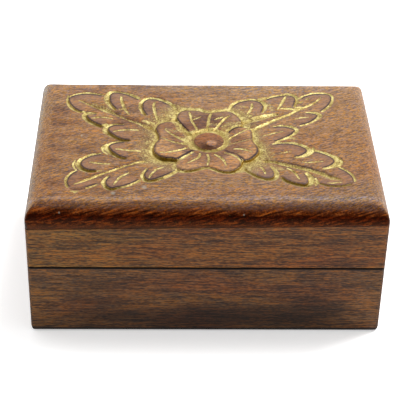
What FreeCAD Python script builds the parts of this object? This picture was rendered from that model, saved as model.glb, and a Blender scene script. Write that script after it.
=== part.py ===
import FreeCAD, Part
import os
import math

# Wooden trinket box with a hinged lid. Millimetres, +Z up.
# Origin: middle of the footprint, on the surface that the box stands on.
# The front looks towards -Y, the hinges are at the back (+Y).

# ---- driving dimensions -------------------------------------------------
width = 150.0            # X, outside
depth = 105.0            # Y, outside
height = 64.5            # Z, closed
z_part = 34.1            # middle of the gap between base and lid
part_gap = 0.2           # gap between base rim and lid rim
wall = 9.0               # thickness of every upright board
top_round = 7.6          # quarter-round along the upper edges of the lid
seam_left = 53.5         # underside of the top panel at the left end
seam_right = 56.1        # and at the right end: the panel was planed out of level
plan_round = 1.6         # rounding of the upright corners
foot_round_ends = 2.8    # rounding of the lower edges at the two ends
foot_round_front = 1.3   # rounding of the lower edges at front and back
arris = 0.4              # small chamfer along the parting edges

bottom_thick = 3.6       # bottom panel
bottom_lift = 0.4        # underside of the panel above the standing surface
rebate = 4.5             # how far the panel goes in under the walls
lining_thick = 1.0       # felt on the floor
lining_gap = 0.4         # felt to wall

hinge_x = 42.0           # hinge centres, left and right of the middle
hinge_len = 25.0
hinge_inset = 2.2        # pin axis inside the back face
back_bevel_deg = 52.0    # bevel of the back parting edges; two of them stop the lid
barrel_r = 2.0
barrel_room = 0.35       # room for the barrel in the wood
pin_r = 1.0
lid_bore_play = 0.05     # radial, lid knuckle on pin
base_bore_play = 0.02    # radial, base knuckles on pin
leaf_thick = 0.9
leaf_wide = 5.8          # from the pin axis
leaf_play = 0.15         # plan clearance of a leaf in its mortise
knuckle_mid = 8.4        # lid knuckle
knuckle_gap = 0.3
screw_dx = 7.6           # screws from the hinge centre
screw_in = 3.9           # screws from the pin axis, heads clear of the knuckles
screw_r = 0.75
screw_head_r = 1.35
screw_head_h = 0.6
screw_len = 7.0

brad_r = 0.6             # corner brads
brad_len = 15.0
brad_in = 4.2            # from the front or back face
pin_brad_r = 0.5         # bottom panel brads
pin_brad_len = 9.0

# ---- derived ------------------------------------------------------------
V = FreeCAD.Vector
hx, hy = width / 2.0, depth / 2.0
z_base = z_part - part_gap / 2.0
z_lid = z_part + part_gap / 2.0
axis_y = hy - hinge_inset
bevel = math.radians(back_bevel_deg)
os.makedirs("parts", exist_ok=True)


def prism(points, direction):
    wire = Part.makePolygon([V(*p) for p in points] + [V(*points[0])])
    return Part.Face(wire).extrude(V(*direction))


def block(x0, x1, y0, y1, z0, z1):
    return Part.makeBox(x1 - x0, y1 - y0, z1 - z0, V(x0, y0, z0))


def rod(r, length, base, direction):
    return Part.makeCylinder(r, length, V(*base), V(*direction))


def profile_face(corners, place):
    """Closed outline from corners (u, v, radius or -chamfer); place maps u, v to a point."""
    n = len(corners)
    edges, starts, ends, arcs = [], [], [], []
    for i in range(n):
        u, v, r = corners[i]
        pu, pv, _ = corners[i - 1]
        nu, nv, _ = corners[(i + 1) % n]
        c = V(u, v, 0)
        a = V(pu - u, pv - v, 0).normalize()
        b = V(nu - u, nv - v, 0).normalize()
        if r == 0:
            starts.append(c), ends.append(c), arcs.append(None)
        elif r < 0:
            starts.append(c + a * -r), ends.append(c + b * -r), arcs.append("line")
        else:
            s, e = c + a * r, c + b * r
            mid = c + (a + b) * r - (a + b).normalize() * r
            starts.append(s), ends.append(e), arcs.append(mid)
    for i in range(n):
        s, e, m = starts[i], ends[i], arcs[i]
        if m == "line":
            edges.append(Part.LineSegment(place(s), place(e)).toShape())
        elif m is not None:
            edges.append(Part.Arc(place(s), place(m), place(e)).toShape())
        nxt = starts[(i + 1) % n]
        if (nxt - e).Length > 1e-7:
            edges.append(Part.LineSegment(place(e), place(nxt)).toShape())
    return Part.Face(Part.Wire(edges))


def envelope(z0, z1, low_ends, low_front, high):
    """Outer shape from its front, side and plan outlines. Radii are right-angle corners."""
    front = profile_face(
        [(-hx, z0, low_ends), (hx, z0, low_ends), (hx, z1, high), (-hx, z1, high)],
        lambda p: V(p.x, -hy - 5, p.y),
    ).extrude(V(0, depth + 10, 0))
    side = profile_face(
        [(-hy, z0, low_front), (hy, z0, low_front), (hy, z1, high), (-hy, z1, high)],
        lambda p: V(-hx - 5, p.x, p.y),
    ).extrude(V(width + 10, 0, 0))
    plan = profile_face(
        [(-hx, -hy, plan_round), (hx, -hy, plan_round), (hx, hy, plan_round), (-hx, hy, plan_round)],
        lambda p: V(p.x, p.y, z0 - 5),
    ).extrude(V(0, 0, z1 - z0 + 10))
    return front.common(side).common(plan)


def one_solid(shape, name):
    shape = shape.removeSplitter()
    if len(shape.Solids) != 1:
        raise RuntimeError("%s has %d solids" % (name, len(shape.Solids)))
    return shape.Solids[0]


# ---- outer shapes -------------------------------------------------------
base_env = envelope(0.0, z_base, foot_round_ends, foot_round_front, -arris)
lid_env = envelope(z_lid, height, -arris, -arris, top_round)

# above the tilted seam is the top panel, below it are the lid rails
slope = (seam_right - seam_left) / width
above_seam = prism(
    [
        (-hx - 10, -hy - 10, seam_left - 10 * slope),
        (hx + 10, -hy - 10, seam_right + 10 * slope),
        (hx + 10, -hy - 10, height + 10),
        (-hx - 10, -hy - 10, height + 10),
    ],
    (0, depth + 20, 0),
)

# mitred board regions in plan, over the whole height
ix, iy = hx - wall, hy - wall
z_all = (0, 0, height + 20)
region = {
    "front": prism([(-hx, -hy, -10), (hx, -hy, -10), (ix, -iy, -10), (-ix, -iy, -10)], z_all),
    "back": prism([(hx, hy, -10), (-hx, hy, -10), (-ix, iy, -10), (ix, iy, -10)], z_all),
    "left": prism([(-hx, hy, -10), (-hx, -hy, -10), (-ix, -iy, -10), (-ix, iy, -10)], z_all),
    "right": prism([(hx, -hy, -10), (hx, hy, -10), (ix, iy, -10), (ix, -iy, -10)], z_all),
}

base_board = {k: base_env.common(r) for k, r in region.items()}
lid_board = {k: lid_env.common(r).cut(above_seam) for k, r in region.items()}
lid_top_panel = lid_env.common(above_seam)

# ---- bottom panel in its rebate, and the felt on it ---------------------
bx, by = ix + rebate, iy + rebate
z_ledge = bottom_lift + bottom_thick
panel_room = block(-bx, bx, -by, by, -1.0, z_ledge)
base_board = {k: s.cut(panel_room) for k, s in base_board.items()}
base_bottom_panel = block(-bx, bx, -by, by, bottom_lift, z_ledge)
base_lining = block(
    -ix + lining_gap, ix - lining_gap, -iy + lining_gap, iy - lining_gap,
    z_ledge, z_ledge + lining_thick,
)

# ---- bevelled back edges: they meet when the lid is fully open ----------
drop = (hinge_inset + 2.0) * math.tan(bevel)
base_bevel = prism(
    [
        (-hx - 5, axis_y, z_base),
        (-hx - 5, hy + 2.0, z_base - drop),
        (-hx - 5, hy + 2.0, z_part + 20),
        (-hx - 5, axis_y, z_part + 20),
    ],
    (width + 10, 0, 0),
)
lid_bevel = prism(
    [
        (-hx - 5, axis_y, z_lid),
        (-hx - 5, hy + 2.0, z_lid + drop),
        (-hx - 5, hy + 2.0, z_part - 20),
        (-hx - 5, axis_y, z_part - 20),
    ],
    (width + 10, 0, 0),
)
for k in base_board:
    base_board[k] = base_board[k].cut(base_bevel)
    lid_board[k] = lid_board[k].cut(lid_bevel)

# ---- hinges -------------------------------------------------------------
knuckle_end = (hinge_len - knuckle_mid - 2 * knuckle_gap) / 2.0
parts = {}
for side, cx in (("left", -hinge_x), ("right", hinge_x)):
    x0, x1 = cx - hinge_len / 2.0, cx + hinge_len / 2.0
    m0, m1 = cx - knuckle_mid / 2.0, cx + knuckle_mid / 2.0
    along = (1, 0, 0)

    def barrel(xa, xb, r):
        return rod(r, xb - xa, (xa, axis_y, z_part), along)

    # plates lie in the parting faces of the back boards
    y_in = axis_y - leaf_wide
    base_plate = block(x0, x1, y_in, axis_y, z_base - leaf_thick, z_base)
    lid_plate = block(x0, x1, y_in, axis_y, z_lid, z_lid + leaf_thick)

    # mortises and the round room for the barrel
    p = leaf_play
    base_seat = block(x0 - p, x1 + p, y_in - p, axis_y + 0.5, z_base - leaf_thick, z_base + 1)
    lid_seat = block(x0 - p, x1 + p, y_in - p, axis_y + 0.5, z_lid - 1, z_lid + leaf_thick)
    room = barrel(x0 - barrel_room, x1 + barrel_room, barrel_r + barrel_room)
    base_board["back"] = base_board["back"].cut(base_seat).cut(room)
    lid_board["back"] = lid_board["back"].cut(lid_seat).cut(room)

    # base leaf: two end knuckles
    g = knuckle_gap
    base_leaf = base_plate.cut(barrel(m0 - g, m1 + g, barrel_r + 0.25))
    base_leaf = base_leaf.fuse(barrel(x0, m0 - g, barrel_r)).fuse(barrel(m1 + g, x1, barrel_r))
    base_leaf = base_leaf.cut(barrel(x0 - 1, x1 + 1, pin_r + base_bore_play))
    # lid leaf: the middle knuckle
    lid_leaf = lid_plate.cut(barrel(x0 - 1, m0, barrel_r + 0.25)).cut(barrel(m1, x1 + 1, barrel_r + 0.25))
    lid_leaf = lid_leaf.fuse(barrel(m0, m1, barrel_r))
    lid_leaf = lid_leaf.cut(barrel(x0 - 1, x1 + 1, pin_r + lid_bore_play))
    pin = barrel(x0 + 0.2, x1 - 0.2, pin_r)

    # countersunk slotted screws, two to a leaf
    def screw(x, up):
        s = 1.0 if up else -1.0
        z0 = z_lid if up else z_base
        y = axis_y - screw_in
        z0 = z0 + s * 0.05
        head = Part.makeCone(screw_head_r, screw_r, screw_head_h, V(x, y, z0), V(0, 0, s))
        body = Part.makeCylinder(screw_r, screw_len - screw_head_h - 1.5, V(x, y, z0 + s * screw_head_h), V(0, 0, s))
        tip = Part.makeCone(screw_r, 0.15, 1.5, V(x, y, z0 + s * (screw_len - 1.5)), V(0, 0, s))
        mouth = Part.makeCylinder(screw_head_r, 0.05, V(x, y, z0), V(0, 0, -s))
        whole = head.fuse(body).fuse(tip)
        slot = block(x - screw_head_r - 1, x + screw_head_r + 1, y - 0.25, y + 0.25, min(z0, z0 + s * 0.4), max(z0, z0 + s * 0.4))
        return whole.removeSplitter(), whole.cut(slot), mouth

    for up, board, leaf_name in ((False, base_board, "base"), (True, lid_board, "lid")):
        made = []
        for dx in (-screw_dx, screw_dx):
            plain, slotted, mouth = screw(cx + dx, up)
            board["back"] = board["back"].cut(plain)
            if up:
                lid_leaf = lid_leaf.cut(plain).cut(mouth)
            else:
                base_leaf = base_leaf.cut(plain).cut(mouth)
            made.append(one_solid(slotted, "screw"))
        parts["hinge_%s_%s_screws" % (side, leaf_name)] = Part.makeCompound(made)
    parts["hinge_%s_base_leaf" % side] = one_solid(base_leaf, "base leaf")
    parts["hinge_%s_lid_leaf" % side] = one_solid(lid_leaf, "lid leaf")
    parts["hinge_%s_pin" % side] = pin

# ---- brads: corners from the end faces, bottom panel from below ---------
def corner_brads(board, levels):
    made = []
    for sx in (-1, 1):
        end = "left" if sx < 0 else "right"
        for sy, long_side in ((-1, "front"), (1, "back")):
            for z in levels:
                b = rod(brad_r, brad_len, (sx * (hx - 0.1), sy * (hy - brad_in), z), (-sx, 0, 0))
                mouth = rod(brad_r, 0.6, (sx * (hx + 0.5), sy * (hy - brad_in), z), (-sx, 0, 0))
                board[end] = board[end].cut(b).cut(mouth)
                board[long_side] = board[long_side].cut(b)
                made.append(b)
    return Part.makeCompound(made)


parts["base_corner_brads"] = corner_brads(base_board, (9.5, 24.5))
parts["lid_corner_brads"] = corner_brads(lid_board, (40.5, 49.0))

made = []
ly, lx = iy + rebate / 2.0, ix + rebate / 2.0
spots = [(x, s * ly, "front" if s < 0 else "back") for s in (-1, 1) for x in (-46.0, 0.0, 46.0)]
spots += [(s * lx, 0.0, "left" if s < 0 else "right") for s in (-1, 1)]
for x, y, name in spots:
    b = rod(pin_brad_r, pin_brad_len, (x, y, bottom_lift), (0, 0, 1))
    base_bottom_panel = base_bottom_panel.cut(b)
    base_board[name] = base_board[name].cut(b)
    made.append(b)
parts["bottom_panel_brads"] = Part.makeCompound(made)

# ---- boards -------------------------------------------------------------
for k in ("front", "back", "left", "right"):
    parts["base_%s_wall" % k] = one_solid(base_board[k], "base " + k)
    parts["lid_%s_rail" % k] = one_solid(lid_board[k], "lid " + k)
parts["lid_top_panel"] = one_solid(lid_top_panel, "lid top panel")
parts["base_bottom_panel"] = one_solid(base_bottom_panel, "bottom panel")
parts["base_lining"] = base_lining

for name in sorted(parts):
    shape = parts[name]
    if not shape.isValid():
        raise RuntimeError(name + " is not valid")
    shape.exportStep("parts/%s.step" % name)
    print("%-26s solids %2d  volume %10.2f mm3" % (name, len(shape.Solids), shape.Volume))
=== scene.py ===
import math

import bpy
import numpy as np
from mathutils import Matrix, Vector


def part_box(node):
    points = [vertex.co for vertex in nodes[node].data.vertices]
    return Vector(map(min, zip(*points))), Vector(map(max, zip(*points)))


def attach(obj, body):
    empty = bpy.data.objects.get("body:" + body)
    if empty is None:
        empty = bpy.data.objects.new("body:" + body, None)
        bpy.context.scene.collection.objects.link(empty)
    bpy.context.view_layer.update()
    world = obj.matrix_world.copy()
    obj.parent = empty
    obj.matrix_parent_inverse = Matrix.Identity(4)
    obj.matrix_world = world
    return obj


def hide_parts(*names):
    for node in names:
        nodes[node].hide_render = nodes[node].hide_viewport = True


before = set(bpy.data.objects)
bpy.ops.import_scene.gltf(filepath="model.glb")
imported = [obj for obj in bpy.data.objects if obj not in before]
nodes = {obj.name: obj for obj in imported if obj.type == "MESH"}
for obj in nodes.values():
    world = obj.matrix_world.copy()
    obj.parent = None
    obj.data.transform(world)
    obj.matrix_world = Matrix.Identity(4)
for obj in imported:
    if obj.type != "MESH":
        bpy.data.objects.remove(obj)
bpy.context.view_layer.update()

scene = bpy.context.scene
MM = 0.001

# ---------------------------------------------------------------- sizes, mm
HX, HY, HZ = 75.0, 52.5, 64.5
ROUND = 7.6            # quarter-round along the upper edges
PLAN_R = 1.6           # upright corners
SEAM_L, SEAM_R = 53.5, 56.1


def seam_z(x):
    return SEAM_L + (SEAM_R - SEAM_L) * (x + HX) / (2 * HX)


# ================================================================= carving
# Outlines of the leaflets and petals on the lid, in mm in plan (x right, y to the back).
# An edge is walked with the raised leaflet on its left; on its right the wood slopes up
# and away over the third number of each point (or the default width).
# Painted shade keys: dark darkens the wall under a front edge; soft spares the edge's wall from the wall shade; a third
# key sets the dark rim line, dirt and painted shade.
EDGES = [
    # back left spray: tip, two upper leaflets, two lower ones
    dict(p=[(-46.2, 37.4, 1.1), (-50, 38.6, 1.1), (-54, 39.0, 1.2), (-58, 38.2, 1.1), (-60.4, 36.7, 1.0), (-61.5, 35.6, 0.8)], d=0.55, w=1.1),
    dict(p=[(-62.2, 36.8, 0.7), (-62.2, 34.4, 1.0), (-61.9, 31.7, 1.3), (-60.6, 28.0, 1.7), (-58.6, 25.0, 1.8), (-56.3, 22.9, 1.3), (-54.8, 22.3, 1.0)], d=0.62, w=1.3),
    dict(p=[(-29.2, 33.8, 1.5), (-31.8, 36.0, 1.9), (-34.8, 38.3, 2.0), (-37.8, 39.8, 1.1), (-40.4, 40.3, 1.3), (-42.3, 39.7, 1.8),
            (-43.4, 37.5, 2.8), (-43.5, 34.2, 3.1), (-43.1, 31, 2.7), (-42.1, 28.4, 2.0), (-41, 26.3, 1.5), (-40, 24.8, 1.0)], d=0.75, w=1.4, mauve=1.0),
    dict(p=[(-13.4, 25.4, 1.6), (-14.2, 27.8, 1.8), (-15.9, 30, 1.8), (-18.3, 32.2, 1.9), (-21, 33.9, 1.9), (-23.5, 34.6, 1.7),
            (-26, 34.2, 1.8), (-27.6, 32.6, 1.9), (-28.4, 30.5, 1.9), (-28.6, 28, 1.8), (-28.3, 25, 1.6), (-27.4, 22, 1.3), (-26.4, 19.8, 0.9)],
         d=0.8, w=1.7, mauve=1.0),
    dict(p=[(-48.5, 21.4, 1.0), (-51.3, 21.5, 1.6), (-52.8, 20.6, 2.7), (-53.2, 19.0, 3.1), (-52.4, 17, 3.0), (-51, 15, 2.6), (-49, 13, 2.3),
            (-46.8, 11.4, 2.2), (-45.2, 10.6, 2.0)], d=0.85, w=2.2, dark=0.55),
    dict(p=[(-36, 12.4, 0.8), (-39, 12.3, 1.1), (-41.4, 11.5, 1.6), (-42.9, 10.1, 2.8), (-43.3, 8.5, 3.4), (-43, 6.5, 3.1), (-41.8, 4.5, 2.4),
            (-40, 2.4, 1.9), (-38, 0.6, 1.8), (-35.8, -0.6, 1.6), (-33, -0.9, 1.2)], d=0.85, w=2.0, dark=0.6),
    # front left spray: two upper leaflets, tip, two lower ones
    dict(p=[(-35.6, -1.7, 1.1), (-39.3, -2.5, 1.6), (-41.6, -3.9, 1.8), (-42.4, -5.5, 2.8), (-42.2, -7.3, 3.2), (-41, -9.8, 2.6),
            (-39.5, -11.8, 2.0), (-37.5, -13.8, 1.7), (-35.5, -14.9, 1.4), (-34.2, -15.1, 1.1)], d=0.8, w=1.6, dark=0.55),
    dict(p=[(-45.3, -11.4, 1.0), (-48, -12.3, 1.3), (-50.8, -13.8, 1.5), (-52.8, -15.7, 1.6), (-53.8, -18, 2.7), (-53.9, -20, 3.2), (-53.2, -22, 2.7),
            (-51.8, -23.7, 2.1), (-49.5, -24.8, 1.9), (-46.8, -25, 1.3)], d=0.85, w=1.6, dark=0.65),
    dict(p=[(-55, -24.6, 1.0), (-57.0, -26.7, 1.1), (-58.5, -29.8, 1.1), (-59, -33, 0.9), (-58.6, -35.6, 0.8), (-57.8, -37.4, 0.7)], d=0.6, w=1.1),
    dict(p=[(-57.2, -37.9, 0.7), (-56, -38.5, 0.9), (-54, -38.7, 1.0), (-52, -38.3, 1.0), (-49.5, -37.4, 0.9), (-47.6, -36.4, 0.8)], d=0.4, w=0.8, g=0.12, wall=0.25, grime_shade_amount=0.35),
    dict(p=[(-50.4, -37.7, 0.7), (-48.6, -36.9, 0.8), (-47, -36, 0.8), (-45.4, -34.9, 0.7)], d=0.36, w=0.8, g=0.8),
    dict(p=[(-41.2, -28.6, 1.0), (-42.5, -31, 1.4), (-43, -33.5, 1.6), (-42.4, -36, 1.7), (-41, -37.8, 1.8), (-39.3, -38.3, 1.6), (-37.3, -37.5, 1.2), (-36, -37.1, 0.9)], d=0.7, w=1.4, dark=0.75),
    dict(p=[(-37.4, -37.6, 0.9), (-34.8, -36.7, 1.2), (-32, -35.2, 1.2), (-29.7, -33.3, 1.3), (-28.0, -31.7, 1.2)], d=0.42, w=1.2, front=0.0, soft=0.6),
    dict(p=[(-25.4, -23.2, 1.0), (-26.6, -26, 1.5), (-26.9, -28.7, 1.8), (-26.1, -30.9, 2.0), (-24.7, -32, 1.9), (-23, -31.9, 1.8), (-20.5, -30.8, 1.6), (-18.4, -29.4, 1.3)], d=0.75, w=1.5, dark=0.55),
    dict(p=[(-20.6, -30.8, 1.1), (-17.8, -29, 1.9), (-15.2, -26.7, 1.9), (-13.4, -24.6, 1.8), (-12.6, -22.9, 1.2)], d=0.55, w=1.5, front=0.0, soft=0.55),
    # back right spray: two upper leaflets, tip, two lower ones
    dict(p=[(25.9, 22.9, 0.9), (26.6, 25.2, 1.4), (27.1, 28.1, 2.0), (26.7, 30.5, 2.4), (25.5, 32.4, 2.5), (23.4, 33.8, 2.1), (20.4, 34.0, 1.6), (17, 33, 1.6),
            (14.3, 31.1, 1.7), (12.6, 28.8, 1.7), (11.4, 26.2, 1.5)], d=0.78, w=1.6, mauve=0.8),
    dict(p=[(40.8, 28.2, 0.9), (41.5, 31, 1.2), (42.1, 33.8, 1.4), (42, 36.1, 1.7), (40.8, 37.9, 1.8), (38.5, 38.8, 1.6), (36, 38.4, 1.5), (33, 37.5, 1.7),
            (30.3, 36.4, 1.6), (28.7, 35.4, 1.5), (27.5, 34.5, 1.2)], d=0.75, w=1.5, mauve=1.0),
    dict(p=[(52.8, 24.0, 1.0), (54.3, 25.8, 1.3), (56.2, 28.5, 1.5), (57.8, 31.5, 1.4), (58.7, 34.8, 1.1), (58.8, 37.6, 1.0), (57.9, 39.3, 1.1), (56, 40.2, 1.2),
            (53, 40.3, 1.3), (50, 39.9, 1.3), (47.3, 38.8, 1.3), (45.2, 37.2, 1.3), (43.9, 35.4, 1.1)], d=0.5, w=1.4, front=-0.3, soft=0.75, mauve=0.6),
    dict(p=[(42.2, 12.0, 0.8), (45, 13.2, 0.9), (47.3, 14.8, 0.9), (49.5, 17.2, 1.3), (50.8, 19.3, 2.1), (51.2, 20.8, 2.5), (50.3, 22.2, 2.1),
            (48.3, 23.1, 1.3), (45.6, 23.4, 0.9)], d=0.6, w=1.4, front=-0.35, soft=0.8),
    dict(p=[(30.2, -1.8, 0.8), (32.2, -0.4, 0.9), (34.3, 1.0, 1.1), (36.5, 2.6, 1.3), (38.6, 5, 1.4), (39.9, 7, 1.8), (39.9, 8.9, 2.0), (38.4, 10.4, 1.8), (36, 11.5, 1.6), (33, 11.8, 1.3),
            (30.3, 11.3, 0.9)], d=0.6, w=1.5, front=-0.3, soft=0.75),
    # front right spray: two upper leaflets, tip, two lower ones
    dict(p=[(38.1, -13.8, 1.1), (41, -12.7, 1.5), (43, -10.9, 2.3), (44, -8.8, 3.1), (43.9, -7, 3.2), (42.4, -5, 2.2), (40, -3.5, 1.8), (37, -2.4, 1.4),
            (34, -2.1, 1.2), (31, -2.6, 1.1), (29, -3.2, 1.0)], d=0.8, w=1.9, front=-0.35, soft=0.65),
    dict(p=[(49.3, -22.4, 1.0), (52, -21.1, 1.6), (54, -19.4, 2.5), (55.1, -17.3, 3.3), (55.1, -15, 3.3), (53.8, -12.8, 2.6), (51.5, -10.8, 2.0),
            (49, -9.3, 1.7), (46.9, -8.6, 1.3)], d=0.78, w=1.7, front=-0.3, soft=0.6),
    dict(p=[(46.7, -33.4, 0.9), (48.7, -34.4, 1.0), (51.2, -35.2, 1.1), (54.5, -35.4, 1.1), (57.5, -34.9, 1.0), (60.2, -34.1, 0.8)], d=0.5, w=1.0, g=0.75, dark=0.85, grime_shade_amount=0.5),
    dict(p=[(62.0, -32.2, 0.8), (62.0, -30, 1.0), (61.4, -27.5, 1.1), (60, -24.9, 1.2), (58.3, -22.9, 1.2), (56.4, -21.2, 1.1)], d=0.66, w=1.2),
    dict(p=[(16.2, -21.6, 1.2), (17.6, -24.6, 1.6), (19.6, -27, 1.8), (22, -29, 1.9), (24.5, -30.2, 1.9), (26.8, -30.1, 2.2), (28.3, -28.8, 2.7),
            (28.8, -26.8, 2.8), (28.6, -24.6, 2.4), (27.9, -22.4, 1.6), (27.2, -20.8, 1.0)], d=0.62, w=1.5, dark=0.6, mauve=0.9, grime_shade_amount=0.6),
    dict(p=[(31.4, -29.1, 1.5), (33.4, -31.5, 1.9), (36.2, -33.3, 2.1), (39.3, -34.4, 2.3), (41.5, -34.3, 2.9), (42.5, -32.7, 3.8), (42.8, -30.5, 3.7),
            (42.5, -28, 2.8), (41.4, -25.6, 1.4)], d=0.8, w=1.8, dark=0.75, mauve=0.9, grime_shade_amount=0.6),
    # petal over petal inside the flower
    dict(p=[(-13, 18.5, 2.4), (-12.3, 16, 3.6), (-10.5, 12.3, 4.6), (-8.3, 8.8, 4.8), (-6.2, 5.0, 4.0)], d=0.62, w=2.4, lobe=0.0, soft=0.7, wall=0.7),
    dict(p=[(17.2, 12.4, 3.4), (15.0, 12.2, 5.2), (12.6, 11.2, 6.4), (10.6, 9.2, 6.0), (9.2, 6.6, 4.4)], d=0.5, w=5.0, g=0.85, lobe=0.0),
]

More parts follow.
